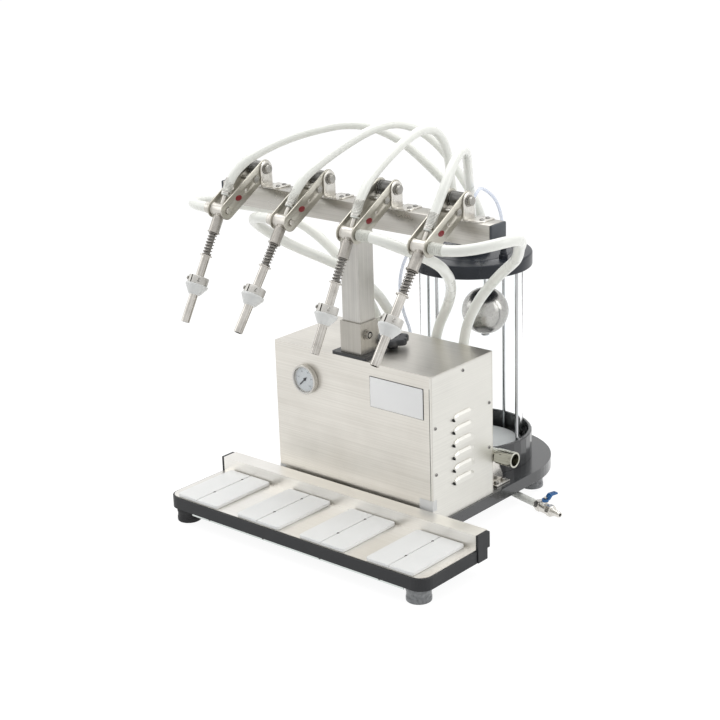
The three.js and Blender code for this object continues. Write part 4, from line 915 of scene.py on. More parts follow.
# Beam: a square tube with plastic end caps and eight bent brackets that carry the arms
# Brushed stainless tube. Each bracket is bent sheet with two button screws in its foot.
beam_steel = steel("beam_steel", (0.40, 0.385, 0.355), (0.58, 0.56, 0.52), along_x, 0.24, 0.38, 8)
bracket_steel = steel("bracket_steel", (0.60, 0.58, 0.54), (0.74, 0.72, 0.68), along_z, 0.2, 0.34)
cap_blue = plastic("cap_blue", (0.040, 0.046, 0.056), (0.062, 0.070, 0.082), 0.35, 0.5, 1600)
mast_x, mast_y = -0.0085, 0.2165
beam_half = 0.305
beam_bottom, beam_top = 0.5585, 0.5985
beam_front, beam_rear = mast_y - 0.020, mast_y + 0.020
cap_depth = 0.005
head_xs = [-0.225, -0.075, 0.075, 0.225]
cap_proud, cap_lap = 0.0002, 0.0005
bracket_sheet = 0.0025
bracket_bore = 0.0043
bracket_foot_end, bracket_corner, bracket_corner_round = 0.049, 0.036, 0.013
bracket_front_in, bracket_rear_in, ear_lift = 0.0005, 0.0015, 0.001
button_x, button_ys = 0.041, (0.211, 0.227)
button_radius, button_high, button_hole, button_hole_foot = 0.0042, 0.0023, 0.0018, 0.0012
ear_inner = 0.018
ear_radius = 0.0145
pivot_y, pivot_z = 0.2045, 0.6315
across = Matrix(((0, 0, 1, 0), (1, 0, 0, 0), (0, 1, 0, 0), (0, 0, 0, 1)))


def arc(x, y, radius, start, end, steps):
    turns = [math.radians(start + (end - start) * k / steps) for k in range(steps + 1)]
    return [(x + radius * math.cos(turn), y + radius * math.sin(turn)) for turn in turns]


def circle(x, y, radius):
    return arc(x, y, radius, 0, 360, 32)[:-1]


# A plate with eased edges: an outline with holes in x and y, thick along z from zero
def cut_plate(line, holes, thickness, ease=0.0003):
    curve = bpy.data.curves.new("plate_outline", "CURVE")
    curve.dimensions = "2D"
    curve.fill_mode = "BOTH"
    for loop in [line, *holes]:
        spline = curve.splines.new("POLY")
        spline.points.add(len(loop) - 1)
        for point, (x, y) in zip(spline.points, loop):
            point.co = (x * 1000, y * 1000, 0, 1)
        spline.use_cyclic_u = True
    curve.extrude = (thickness / 2 - ease) * 1000
    curve.bevel_depth = ease * 1000
    curve.bevel_resolution = 1
    curve.offset = -ease * 1000
    drawn = bpy.data.objects.new("plate_outline", curve)
    mesh = bpy.data.meshes.new_from_object(drawn)
    shaper = bmesh.new()
    shaper.from_mesh(mesh)
    bmesh.ops.remove_doubles(shaper, verts=shaper.verts[:], dist=0.002)
    shaper.verts.index_update()
    lift = Vector((0, 0, thickness / 2))
    points = [tuple(vert.co / 1000 + lift) for vert in shaper.verts]
    faces = [tuple(vert.index for vert in face.verts) for face in shaper.faces]
    shaper.free()
    bpy.data.objects.remove(drawn)
    return points, faces


def beam():
    left, right = mast_x - beam_half, mast_x + beam_half
    y, z = (beam_front, beam_rear), (beam_bottom, beam_top)
    tube = slab((left + cap_depth, right - cap_depth), y, z, 0.0018)
    make_piece("beam_tube", [(in_layout(tube), beam_steel)], "mast", ["beam"])
    caps = []
    for x in ((left, left + cap_depth + cap_lap), (right - cap_depth - cap_lap, right)):
        cap = slab(x, (y[0] - cap_proud, y[1] + cap_proud), (z[0] - cap_proud, z[1] + cap_proud), 0.0026)
        caps.append((in_layout(cap), cap_blue))
    make_piece("beam_caps", caps, "mast", ["beam"])


def bracket(x, side):
    hinge = at_spot(x, 0, 0)
    ear_foot = beam_top + ear_lift
    outline = [
        (pivot_y - ear_radius, ear_foot), (pivot_y + ear_radius, ear_foot),
        *arc(pivot_y, pivot_z, ear_radius, 0, 180, 24),
    ]
    ear = cut_plate(outline, [circle(pivot_y, pivot_z, bracket_bore)], bracket_sheet)
    inner = ear_inner if side > 0 else -ear_inner - bracket_sheet
    foot_start, foot_end, corner = side * ear_inner, side * bracket_foot_end, side * bracket_corner
    front, rear = beam_front + bracket_front_in, beam_rear - bracket_rear_in
    bow = []
    for k in range(9):
        t = k / 8
        bow.append((
            corner * (1 - t) ** 2 + foot_end * 2 * t * (1 - t) + foot_end * t ** 2,
            front * (1 - t) ** 2 + front * 2 * t * (1 - t) + (front + bracket_corner_round) * t ** 2,
        ))
    foot = cut_plate([(foot_start, rear), (foot_start, front), *bow, (foot_end, rear)], [], bracket_sheet)
    parts = [
        (moved(ear, hinge @ shift(inner, 0, 0) @ across), bracket_steel),
        (moved(foot, hinge @ shift(0, 0, beam_top)), bracket_steel),
    ]
    button = [
        (0, 0), (button_radius, 0), (button_radius, 0.0005), (0.0033, 0.0019), (button_hole, button_high),
        (button_hole, button_hole_foot), (0, button_hole_foot),
    ]
    for y in button_ys:
        at = hinge @ shift(side * button_x, y, beam_top + bracket_sheet)
        parts.append((moved(turned(button, 0.0004, 28), at), screw_steel))
    return parts


beam()
brackets = []
for x in head_xs:
    for side in (-1, 1):
        brackets += bracket(x, side)
make_piece("arm_brackets", brackets, "mast", ["beam"])

# Pivots: a bolt through each pair of brackets, with washers, nut, spool and torsion spring
# The bolt and its nut are plain steel. The spring is dark wire, wound close on the spool.
dark_wire = steel("dark_wire", (0.10, 0.10, 0.095), (0.22, 0.215, 0.205), every_way, 0.22, 0.36)

# Each disc on the bolt: its radius, thickness, eased edge and distance from the middle
pivot_discs = [
    (0.0126, 0.0012, 0.0004, 0.0129), (0.0100, 0.0008, 0.0003, 0.0208), (0.0094, 0.0008, 0.0003, 0.0217),
]
pivot_head_at, pivot_head_radius, pivot_head_high = 0.0224, 0.0078, 0.0058
pivot_nut_radius, pivot_nut_high = 0.0086, 0.0052
pivot_bolt_radius, pivot_bolt_length, pivot_bolt_start = 0.004, 0.0496, 0.0284
coil_radius, coil_wire, coil_turns, coil_half = 0.0112, 0.00112, 11, 0.0121


def sweep(line, radius, sides, closed_ends=True):
    points, faces = [], []
    aside = None
    for k, here in enumerate(line):
        ahead = (line[min(k + 1, len(line) - 1)] - line[max(k - 1, 0)]).normalized()
        if aside is None:
            aside = ahead.orthogonal().normalized()
        aside = (aside - ahead * aside.dot(ahead)).normalized()
        other = ahead.cross(aside)
        for s in range(sides):
            turn = 2 * math.pi * s / sides
            out = aside * (radius * math.cos(turn)), other * (radius * math.sin(turn))
            points.append(tuple(here + out[0] + out[1]))
    for k in range(len(line) - 1):
        for s in range(sides):
            after = (s + 1) % sides
            faces.append((k * sides + s, k * sides + after, (k + 1) * sides + after, (k + 1) * sides + s))
    if closed_ends:
        faces.append(tuple(range(sides)))
        faces.append(tuple((len(line) - 1) * sides + s for s in range(sides)))
    return points, faces


def coil(radius, wire, turns, start, end, per_turn=24, resting=0.0):
    line = []
    steps = round(turns * per_turn)
    for k in range(steps + 1):
        turn = 2 * math.pi * k / per_turn
        t = k / steps
        if resting:
            flat = resting / turns
            t = max(0.0, min(1.0, (t - flat) / (1 - 2 * flat)))
        line.append(Vector((radius * math.cos(turn), radius * math.sin(turn), start + (end - start) * t)))
    return sweep(line, wire, 8)


def pivot(number, x):
    middle = spot(x, pivot_y, pivot_z)

    def beside(distance, along):
        return placed(middle + Vector(along) * distance, along)

    forms = []
    for along in (leftwards, rightwards):
        for radius, thick, edge, distance in pivot_discs:
            forms.append(moved(rod(radius, thick, edge, 40), beside(distance, along)))
    head = [
        (0, 0), (pivot_head_radius, 0), (pivot_head_radius, 0.0052), (0.0066, pivot_head_high),
        (0, pivot_head_high),
    ]
    forms += [
        moved(turned(head, 0.0005, 40), beside(pivot_head_at, rightwards)),
        moved(hex_head(pivot_nut_radius, pivot_nut_high), beside(pivot_head_at, leftwards)),
        moved(rod(pivot_bolt_radius, pivot_bolt_length, 0.0006), beside(-pivot_bolt_start, rightwards)),
    ]
    body, stands_for = "mast", [f"pivot_{number}"]
    parts = [(form, bolt_steel) for form in forms]
    make_piece(f"pivot_bolt_{number}", parts, body, stands_for)
    wound = moved(coil(coil_radius, coil_wire, coil_turns, -coil_half, coil_half), beside(0, rightwards))
    make_piece(f"torsion_spring_{number}", [(wound, dark_wire)], body, stands_for)


for number, x in enumerate(head_xs, 1):
    pivot(number, x)

# Arms: two steel plates with round ends, joined by a pin and marked with a red dot
# The plates are laser cut from dull stainless sheet. The dot is a spot of thick red paint.
arm_steel = steel("arm_steel", (0.40, 0.385, 0.34), (0.56, 0.54, 0.48), along_y, 0.28, 0.42, 18)
red_paint = plastic("red_paint", (0.17, 0.006, 0.010), (0.24, 0.012, 0.016), 0.25, 0.35)
arm_length = 0.114
arm_slope = math.radians(30.3)
arm_radius = 0.016
arm_inner = 0.015
arm_sheet = 0.0025
arm_pin_y = -0.029
dot_radius = 0.0050
dot_stretch = 1.6
dot_at = 0.0333
arm_bore, barrel_bore, arm_hole, arm_hole_at = 0.0046, 0.0056, 0.003, 0.055
arm_pin_radius, arm_pin_end = 0.004, 0.002
arm_nut_radius, arm_nut_high = 0.0065, 0.003


def arm(number, x):
    turn = at_spot(x, pivot_y, pivot_z) @ Matrix.Rotation(arm_slope, 4, "X")
    outline = [*arc(0, 0, arm_radius, -90, 90, 32), *arc(-arm_length, 0, arm_radius, 90, 270, 32)]
    holes = [
        circle(0, 0, arm_bore), circle(-arm_length, 0, barrel_bore),
        circle(arm_hole_at - arm_length, 0, arm_hole),
    ]
    plate = cut_plate(outline, holes, arm_sheet, 0.0004)
    outer = arm_inner + arm_sheet
    parts = [(moved(plate, turn @ shift(start, 0, 0) @ across), arm_steel) for start in (arm_inner, -outer)]
    pin = rod(arm_pin_radius, 2 * (outer + arm_pin_end))
    parts.append((moved(pin, turn @ placed((-outer - arm_pin_end, arm_pin_y, 0), rightwards)), bolt_steel))
    for side in (-1, 1):
        nut = hex_head(arm_nut_radius, arm_nut_high)
        parts.append((moved(nut, turn @ placed((side * outer, arm_pin_y, 0), (side, 0, 0))), bolt_steel))
    dot = revolve([
        (0, -0.0002), (dot_radius, -0.0002), (dot_radius, 0.0001), (dot_radius * 0.9, 0.0003), (0, 0.0004),
    ], 32)
    middle = turn @ Vector((outer, dot_at - arm_length, 0.0009))
    at = Matrix.Translation(middle) @ Matrix.Diagonal((1, dot_stretch, 1, 1)) @ placed(origin, rightwards)
    body = f"arm_{number}"
    make_piece(f"arm_plates_{number}", parts, body, [body])
    make_piece(f"arm_dot_{number}", [(moved(dot, at), red_paint)], body)


for number, x in enumerate(head_xs, 1):
    arm(number, x)

# Heads: barrel with its trunnion, vacuum tube above, collar and inner tube below
# All turned from stainless bar and pressed together. Each hangs in its arm at its own tilt.
turned_steel = steel("turned_steel", (0.50, 0.48, 0.44), (0.68, 0.655, 0.61), every_way, 0.28, 0.42, 30)
collar_steel = steel("collar_steel", (0.28, 0.265, 0.245), (0.52, 0.495, 0.455), every_way, 0.3, 0.42, 60)
tube_dark = steel("tube_dark", (0.10, 0.095, 0.088), (0.26, 0.25, 0.235), every_way, 0.2, 0.32, 30)
barrel_y = pivot_y - arm_length * math.cos(arm_slope)
barrel_z = pivot_z - arm_length * math.sin(arm_slope)
head_tilts = [math.radians(tilt) for tilt in (29.6, 36.4, 28.3, 36.8)]
filling_sides = [-1, -1, 1, 1]
tube_top = 0.026
collar_end = 0.041
spring_ring = 0.002
inner_tube_end = 0.199
inner_tube_radius = 0.00525
ring_radius, neck_radius, throat_radius = 0.011, 0.0095, 0.0078
barrel_half, barrel_radius, barrel_waist = 0.0147, 0.012, 0.0114
trunnion_radius, trunnion_gap, trunnion_end = 0.005, 0.0007, 0.0025
vacuum_tube_radius, vacuum_tube_bore, vacuum_tube_depth = 0.0045, 0.0034, 0.006


def head_place(x, tilt):
    return at_spot(x, barrel_y, barrel_z) @ Matrix.Rotation(-tilt, 4, "X")


def head(number, x, tilt, side):
    place = head_place(x, tilt)
    plate_outer = arm_inner + arm_sheet
    barrel = [
        (0, -barrel_half), (barrel_radius, -barrel_half), (barrel_radius, -0.0133), (barrel_waist, -0.0129),
        (barrel_waist, 0.0129), (barrel_radius, 0.0133), (barrel_radius, barrel_half), (0, barrel_half),
    ]
    trunnion = rod(trunnion_radius, 2 * plate_outer + trunnion_gap + trunnion_end, 0.0009)
    trunnion_place = placed((side * (plate_outer + trunnion_gap), 0, 0), (-side, 0, 0))
    inner = [
        (0, -inner_tube_end), (inner_tube_radius, -inner_tube_end), (inner_tube_radius, -collar_end),
        (0, -collar_end),
    ]
    ring_end = -collar_end - spring_ring
    neck = [
        (0.004, ring_end), (ring_radius, ring_end), (ring_radius, -collar_end), (neck_radius, -collar_end),
        (neck_radius, -0.0157), (0.0090, -0.0152), (neck_radius, -0.0147), (neck_radius, -0.0135),
        (throat_radius, -0.0118), (throat_radius, 0), (0, 0),
    ]
    floor = tube_top - vacuum_tube_depth
    tube = [
        (0, 0), (vacuum_tube_radius, 0), (vacuum_tube_radius, tube_top), (vacuum_tube_bore, tube_top),
        (vacuum_tube_bore, floor), (0, floor),
    ]
    parts = [
        (moved(turned(barrel, 0.0006, 56), place @ placed(origin, rightwards)), turned_steel),
        (moved(trunnion, place @ trunnion_place), turned_steel),
        (moved(turned(inner, 0.0003, 32), place), tube_dark),
        (moved(turned(neck, 0.0003), place), collar_steel),
        (moved(turned(tube, 0.0004, 32), place), turned_steel),
    ]
    body = f"head_{number}"
    make_piece(f"head_body_{number}", parts, body, [body])


heads = list(zip((1, 2, 3, 4), head_xs, head_tilts, filling_sides))
for number, x, tilt, side in heads:
    head(number, x, tilt, side)

# Spout springs: eight and a half turns of wire between the head's ring and the sleeve's ring
# Drawn spring steel with closed end turns. On the machine each is squeezed as its spout slides up; here
# each is one fixed piece at rest.
spring_wire = steel("spring_wire", (0.20, 0.19, 0.175), (0.38, 0.36, 0.335), every_way, 0.14, 0.26)
sleeve_top = 0.0843
spring_radius, spring_wire_radius, spring_turns, resting_turns = 0.0073, 0.001, 8.5, 0.75
spring_seat = 0.0013


def spout_spring(number, x, tilt):
    place = head_place(x, tilt)
    top = -collar_end - spring_ring - spring_seat
    bottom = -sleeve_top + spring_seat
    wire = coil(spring_radius, spring_wire_radius, spring_turns, bottom, top, resting=resting_turns)
    wound = moved(wire, place)
    name = f"spout_spring_{number}"
    piece = make_piece(name, [(wound, spring_wire)], None, [f"spring_{number}"])
    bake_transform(piece)


for number, x, tilt, side in heads:
    spout_spring(number, x, tilt)

# Spouts: a steel sleeve, a slotted clamp collar with its screw, and a white stopper cone
# The sleeve slides on the inner tube. The cone is turned from white plastic and seals a bottle's
# neck, and the collar above it grips the sleeve when its cross screw is tightened.
collar_light = steel("collar_light", (0.46, 0.45, 0.425), (0.62, 0.605, 0.575), every_way, 0.42, 0.55, 40)
cone_white = plastic(
    "cone_white", (0.74, 0.745, 0.73), (0.84, 0.845, 0.83), 0.3, 0.42, 2200, 60, 0.00003, 0.25,
)
sleeve_radius = 0.0075
sleeve_bore = 0.0056
clamp_top, clamp_height = 0.124, 0.014
clamp_radius = 0.018
cone_end = 0.157
tip_end = 0.207
cone_radius, cone_foot, cone_rim = 0.020, 0.010, 0.004
collar_gap = 0.0001
slot_half_turn = 4.5
clamp_screw_x, clamp_screw_y = 0.0118, -0.0125
clamp_screw_radius, clamp_screw_high, clamp_screw_bore, clamp_screw_floor = 0.0034, 0.0024, 0.0019, 0.0008
key_radius, key_low, key_high = 0.00185, 0.0007, 0.0010


# A ring with a gap: its cross-section turned through part of a full turn, closed at both ends
def split_ring(profile, start, end):
    rings, steps = [], 72
    for k in range(steps + 1):
        turn = math.radians(start + (end - start) * k / steps)
        rings.append(
            [(radius * math.cos(turn), radius * math.sin(turn), height) for radius, height in profile]
        )
    return loft(rings)


def spout(number, x, tilt):
    place = head_place(x, tilt)
    clamp_end = clamp_top + clamp_height
    ring_end = -sleeve_top - spring_ring
    sleeve = [
        (sleeve_bore, -tip_end), (sleeve_radius, -tip_end), (sleeve_radius, ring_end),
        (ring_radius, ring_end),
        (ring_radius, -sleeve_top), (sleeve_bore, -sleeve_top), (sleeve_bore, -tip_end),
    ]
    cone = [
        (sleeve_radius, -cone_end), (cone_foot, -cone_end), (cone_radius, -clamp_end - cone_rim),
        (cone_radius, -clamp_end), (sleeve_radius, -clamp_end), (sleeve_radius, -cone_end),
    ]
    bore = sleeve_radius + collar_gap
    section = [(bore, 0), (clamp_radius, 0), (clamp_radius, clamp_height), (bore, clamp_height)]
    ring = split_ring(rounded(section, 0.001, 3, True), -90 + slot_half_turn, 270 - slot_half_turn)
    socket = [
        (0, 0), (clamp_screw_radius, 0), (clamp_screw_radius, clamp_screw_high),
        (clamp_screw_bore, clamp_screw_high),
        (clamp_screw_bore, clamp_screw_floor), (0, clamp_screw_floor),
    ]
    # The hex socket's dark inside is painted shade: a near-black six-sided block in the screw head
    key_shade = revolve([(0, key_low), (key_radius, key_low), (key_radius, key_high), (0, key_high)], 6)
    screw = []
    for turn_side in (-1, 1):
        seat_at = (turn_side * clamp_screw_x, clamp_screw_y, -clamp_top - clamp_height / 2)
        seat = place @ placed(seat_at, (turn_side, 0, 0))
        screw.append((moved(turned(socket, 0.0004, 28), seat), bolt_steel))
        screw.append((moved(key_shade, seat), painted_recess_shade))
    # The sleeve's lengthwise streaks are partly drawing marks and partly painted reflection: their strong
    # dark lines stand in for dark reflections
    drawn = steel(
        f"streaks_and_painted_reflection_{number}", (0.30, 0.28, 0.255), (0.74, 0.715, 0.67), (420, 420, 3), 0.16, 0.28, 40,
        lean=tilt,
    )
    body = f"spout_{number}"
    collar = moved(ring, place @ shift(0, 0, -clamp_end))
    tube, stopper = moved(turned(sleeve, 0.0006), place), moved(turned(cone, 0.0012, 64), place)
    make_piece(f"spout_sleeve_{number}", [(tube, drawn)], body, [body])
    make_piece(f"spout_collar_{number}", [(collar, collar_light)], body, [body])
    make_piece(f"spout_screw_{number}", screw, body)
    make_piece(f"spout_cone_{number}", [(stopper, cone_white)], body, [body])


for number, x, tilt, side in heads:
    spout(number, x, tilt)

# Jar: a black base cup, a glass cylinder, four tie rods with nuts, and a glossy black lid
# The lid is turned plastic with a boss that carries four barbs. It is clamped down by the rods.
# A pale soft seal lies in the cup, and the glass stands around it.
jar_black = plastic(
    "jar_black", (0.028, 0.029, 0.031), (0.046, 0.047, 0.049), 0.18, 0.3, 2200, 25, 0.00002, 0.2, 0.4,
)
lid_black = plastic(
    "lid_black", (0.013, 0.016, 0.022), (0.024, 0.028, 0.036), 0.24, 0.34, 2500, 12, 0.00001, 0.15, 0,
)
tune(lid_black, {"Specular IOR Level": 0.3})
rod_steel = steel("rod_steel", (0.42, 0.43, 0.44), (0.60, 0.61, 0.62), along_z, 0.15, 0.28)
jar_glass = clear_glass("jar_glass", (0.985, 0.995, 0.995), 0.0, 1.03)
seal_grey = plastic("seal_grey", (0.50, 0.51, 0.51), (0.64, 0.65, 0.65), 0.3, 0.45, 900, 40, 0.0001, 0.3)
dress("jar_base", jar_black, 0.0008)
jar_x, jar_y = 0.0287, 0.4945
jar_axis = at_spot(jar_x, jar_y, 0)
glass_bore, glass_radius = 0.092, 0.096
rod_ring_bore, rod_ring_radius, rod_ring_high = 0.1005, 0.1065, 0.003
rod_radius, rods_radius = 0.003, 0.1035
rod_nut_radius, rod_nut_high = 0.0052, 0.004
seal_radius, seal_top_radius, seal_lift, seal_edge, seal_high = 0.0914, 0.089, 0.0004, 0.0130, 0.0136
lid_gap = 0.0003
glass_foot = 0.0616
lid_under = 0.4268
lid_top = 0.4525
boss_top = 0.4665
lid_radius, lid_plug_radius, lid_step, lid_bevel = 0.1138, 0.0925, 0.0008, 0.002
groove_radius, groove_half, groove_depth = 0.0765, 0.0015, 0.0012
boss_radius, boss_fillet = 0.037, 0.0015
lid_barb_radius, lid_barb_ridge, lid_barb_bore, lid_barbs_radius = 0.0044, 0.005, 0.003, 0.022
elbow_x, elbow_y, lid_sunk = 0.0831, -0.012, 0.0002
elbow_nut_radius, elbow_nut_high = 0.009, 0.0082


def jar():
    top = lid_under - lid_gap
    wall = moved(turned(hoop(glass_bore, glass_radius, glass_foot, top), 0.0006, 128), jar_axis)
    make_piece("jar_wall", [(wall, jar_glass)], "root", ["jar_glass"])
    ring_top = glass_foot + rod_ring_high
    ring = hoop(rod_ring_bore, rod_ring_radius, glass_foot, ring_top)
    parts = [(moved(turned(ring, 0.0004, 96), jar_axis), rod_steel)]
    for quarter in range(4):
        turn = quarter * math.pi / 2
        foot = jar_axis @ shift(rods_radius * math.cos(turn), rods_radius * math.sin(turn), 0)
        tie_rod = rod(rod_radius, top - glass_foot, 0.0003, 24)
        parts.append((moved(tie_rod, foot @ shift(0, 0, glass_foot)), rod_steel))
        nut = hex_head(rod_nut_radius, rod_nut_high)
        parts.append((moved(nut, foot @ shift(0, 0, ring_top)), rod_steel))
    make_piece("jar_rods", parts, "root", ["tie_rods"])
    foot = glass_foot + seal_lift
    seal = [
        (0, foot), (seal_radius, foot), (seal_radius, glass_foot + seal_edge),
        (seal_top_radius, glass_foot + seal_high),
        (0, glass_foot + seal_high),
    ]
    make_piece("jar_seal", [(moved(turned(seal, 0.0006, 96), jar_axis), seal_grey)], "root")


jar()


def lid():
    step = lid_under + lid_step
    disc = [
        (0, lid_under), (lid_plug_radius, lid_under), (lid_plug_radius, step), (lid_radius, step),
        (lid_radius, lid_top - lid_bevel), (lid_radius - lid_bevel, lid_top),
        (groove_radius + groove_half, lid_top), (groove_radius, lid_top - groove_depth),
        (groove_radius - groove_half, lid_top), (boss_radius + boss_fillet, lid_top),
        (boss_radius, lid_top + boss_fillet), (boss_radius, boss_top - lid_bevel),
        (boss_radius - lid_bevel, boss_top), (0, boss_top),
    ]
    parts = [(moved(turned(disc, 0.0012, 128), jar_axis), lid_black)]
    barb = [(0, 0)]
    for ridge in range(3):
        start = 0.001 + ridge * 0.0038
        barb += [
            (lid_barb_radius, start), (lid_barb_ridge, start + 0.0006),
            (lid_barb_radius, start + 0.0036),
        ]
    barb += [(lid_barb_radius, 0.0132), (lid_barb_bore, 0.0135), (lid_barb_bore, 0.004), (0, 0.004)]
    for eighth in (1, 3, 5, 7):
        turn = eighth * math.pi / 4
        x, y = lid_barbs_radius * math.cos(turn), lid_barbs_radius * math.sin(turn)
        parts.append((moved(revolve(barb, 28), jar_axis @ shift(x, y, boss_top - 2 * lid_sunk)), lid_black))
    elbow = jar_axis @ shift(elbow_x, elbow_y, lid_top - lid_sunk)
    parts.append((moved(hex_head(elbow_nut_radius, elbow_nut_high), elbow), lid_black))
    neck = [
        (0, 0.008), (0.0062, 0.008), (0.0062, 0.0125), (0.0052, 0.0135), (0.0052, 0.0172), (0.0062, 0.018),
        (0.0055, 0.021), (0, 0.021),
    ]
    parts.append((moved(turned(neck, 0.0005, 32), elbow), lid_black))
    make_piece("jar_cover", parts, "root", ["jar_lid"])


lid()

# Float: a hollow steel ball that slides on the lid's stem
# Two pressed stainless halves are welded along the middle and polished. The stem and its stop
# are steel rod.
ball_steel = steel("ball_steel", (0.36, 0.35, 0.335), (0.54, 0.525, 0.50), every_way, 0.16, 0.3, 18)
float_x, float_y, float_z = 0.060, 0.496, 0.341
float_radius = 0.044
float_bore = 0.0028
float_gap, float_weld, float_lip = 0.0003, 0.00025, 0.0012
float_steps = 48
stem_radius, stem_tuck = 0.0025, 0.0005
stop_radius, stop_thick = 0.008, 0.003


def ball_and_stem():
    start = math.asin(float_bore / float_radius)
    outer = []
    for k in range(float_steps + 1):
        turn = start + (math.pi - 2 * start) * k / float_steps
        weld = float_weld if k == float_steps / 2 else 0
        radius = float_radius - float_gap + weld
        outer.append((radius * math.sin(turn), -radius * math.cos(turn)))
    shell = [
        *outer, (float_bore, outer[-1][1] - float_lip), (float_bore, outer[0][1] + float_lip), outer[0],
    ]
    ball = moved(revolve(shell, 72), at_spot(float_x, float_y, float_z))
    make_piece("float_ball", [(ball, ball_steel)], "float", ["float"])
    stop_top = float_z - float_radius - float_gap
    stem = rod(stem_radius, lid_under - stop_top + stem_tuck, 0.0003, 24)
    stop = rod(stop_radius, stop_thick, 0.0006)
    parts = [
        (moved(stem, at_spot(float_x, float_y, stop_top - stem_tuck)), rod_steel),
        (moved(stop, at_spot(float_x, float_y, stop_top - stop_thick)), rod_steel),
    ]
    make_piece("float_stem", parts, "root", ["jar_lid"])


ball_and_stem()

# Product pipe behind the case: open at its right end, with four barbs and two saddle plates
# Polished stainless tube. Each saddle is a bent plate, bolted to the base plate with two hex bolts.
pipe_steel = steel("pipe_steel", (0.42, 0.42, 0.37), (0.66, 0.65, 0.58), along_x, 0.12, 0.26)
pipe_left, pipe_right = -0.120, 0.2146
pipe_y, pipe_z = 0.3744, 0.118
pipe_radius = 0.0128
pipe_wall = 0.0016
mouth_radius = 0.0145
mouth_length = 0.038
pipe_barbs = [-0.095, -0.055, 0.034, 0.099]
barb_top = 0.1445
mouth_step = 0.001
barb_foot, barb_neck, barb_ridge, barb_groove = 0.0056, 0.001, 0.0062, 0.0055
barb_tip, barb_bore, barb_sunk = 0.0052, 0.0038, 0.002


def product_pipe():
    length = pipe_right - pipe_left
    inner = pipe_radius - pipe_wall
    mouth_start = length - mouth_length
    tube = [
        (0, 0), (pipe_radius, 0), (pipe_radius, mouth_start), (mouth_radius, mouth_start + mouth_step),
        (mouth_radius, length), (inner, length), (inner, pipe_wall), (0, pipe_wall),
    ]
    pipe = moved(turned(tube, 0.0008, 56), placed(spot(pipe_left, pipe_y, pipe_z), rightwards))
    parts = [(pipe, pipe_steel)]
    rise = barb_top - pipe_z - pipe_radius
    barb = [(0, -barb_sunk), (barb_foot, -barb_sunk), (barb_foot, barb_neck)]
    for ridge in range(3):
        start = 0.0015 + ridge * 0.004
        barb += [(barb_ridge, start), (barb_groove, start + 0.0038)]
    barb += [(barb_tip, rise), (barb_bore, rise), (barb_bore, barb_sunk), (0, barb_sunk)]
    for x in pipe_barbs:
        parts.append((moved(revolve(barb, 32), at_spot(x, pipe_y, pipe_z + pipe_radius)), pipe_steel))
    make_piece("product_pipe", parts, "root", ["manifold"])


saddle_sheet = 0.003
saddle_radius = 0.022
saddle_front, saddle_rear, saddle_foot = 0.3612, 0.425, 0.0493
saddle_foot_front, saddle_foot_long, saddle_lap = 0.385, 0.017, 0.0004
saddle_bolt_x, saddle_bolt_ys = 0.0085, (0.3935, 0.4148)
saddle_washer_radius, saddle_washer_thick = 0.0062, 0.0009
saddle_bolt_radius, saddle_bolt_high = 0.005, 0.0041


product_pipe()


def saddle(x):
    foot_top = saddle_foot + saddle_sheet
    start = math.degrees(math.acos((saddle_front - pipe_y) / saddle_radius))
    outline = [
        (saddle_front, saddle_foot), (saddle_rear, saddle_foot),
        (saddle_rear, saddle_foot + saddle_radius / 2),
        *arc(pipe_y, pipe_z, saddle_radius, 45, start, 16),
    ]
    web = cut_plate(outline, [circle(pipe_y, pipe_z, pipe_radius)], saddle_sheet, 0.0004)
    foot_x, foot_y = (x - saddle_lap, x + saddle_foot_long), (saddle_foot_front, saddle_rear)
    foot = slab(foot_x, foot_y, (saddle_foot, foot_top), 0.0005)
    parts = [
        (moved(web, at_spot(x - saddle_sheet, 0, 0) @ across), bracket_steel),
        (in_layout(foot), bracket_steel),
    ]
    for y in saddle_bolt_ys:
        at = at_spot(x + saddle_bolt_x, y, foot_top)
        parts.append((moved(rod(saddle_washer_radius, saddle_washer_thick, 0.0003, 28), at), bolt_steel))
        bolt = hex_head(saddle_bolt_radius, saddle_bolt_high)
        parts.append((moved(bolt, at @ shift(0, 0, saddle_washer_thick)), bolt_steel))
    return parts


make_piece("pipe_saddles", saddle(-0.108) + saddle(0.150), "root", ["manifold"])

# Drain valve: a nickel ball valve that lies on the floor, with a blue lever
# Turned and plated brass with two hexagons and a ridged tail. The lever is a cranked plastic tab.
nickel_plate = steel("nickel_plate", (0.58, 0.56, 0.52), (0.76, 0.74, 0.70), every_way, 0.2, 0.34, 30)
lever_blue = plastic("lever_blue", (0.008, 0.085, 0.26), (0.014, 0.13, 0.36), 0.28, 0.4, 1500)
valve_place = at_spot(0.2176, 0.4375, 0.0116) @ Matrix.Rotation(math.radians(-14.6), 4, "Z")
valve_along = valve_place @ placed(origin, rightwards)
body_start, body_end = 0.014, 0.034
neck_end = 0.047
stem_at = 0.024
valve_end_radius, valve_neck_radius, valve_body_radius, valve_bore = 0.009, 0.0088, 0.0100, 0.003
valve_nut_radius, valve_nut_high, valve_nut_at = 0.0114, 0.0098, 0.004
# The stem, the pin and the nut on it: their radius, height and level
valve_stem, valve_pin = (0.005, 0.0105, 0.0025), (0.002, 0.0098, 0.0125)
valve_cap = (0.0036, 0.0022, 0.01835)


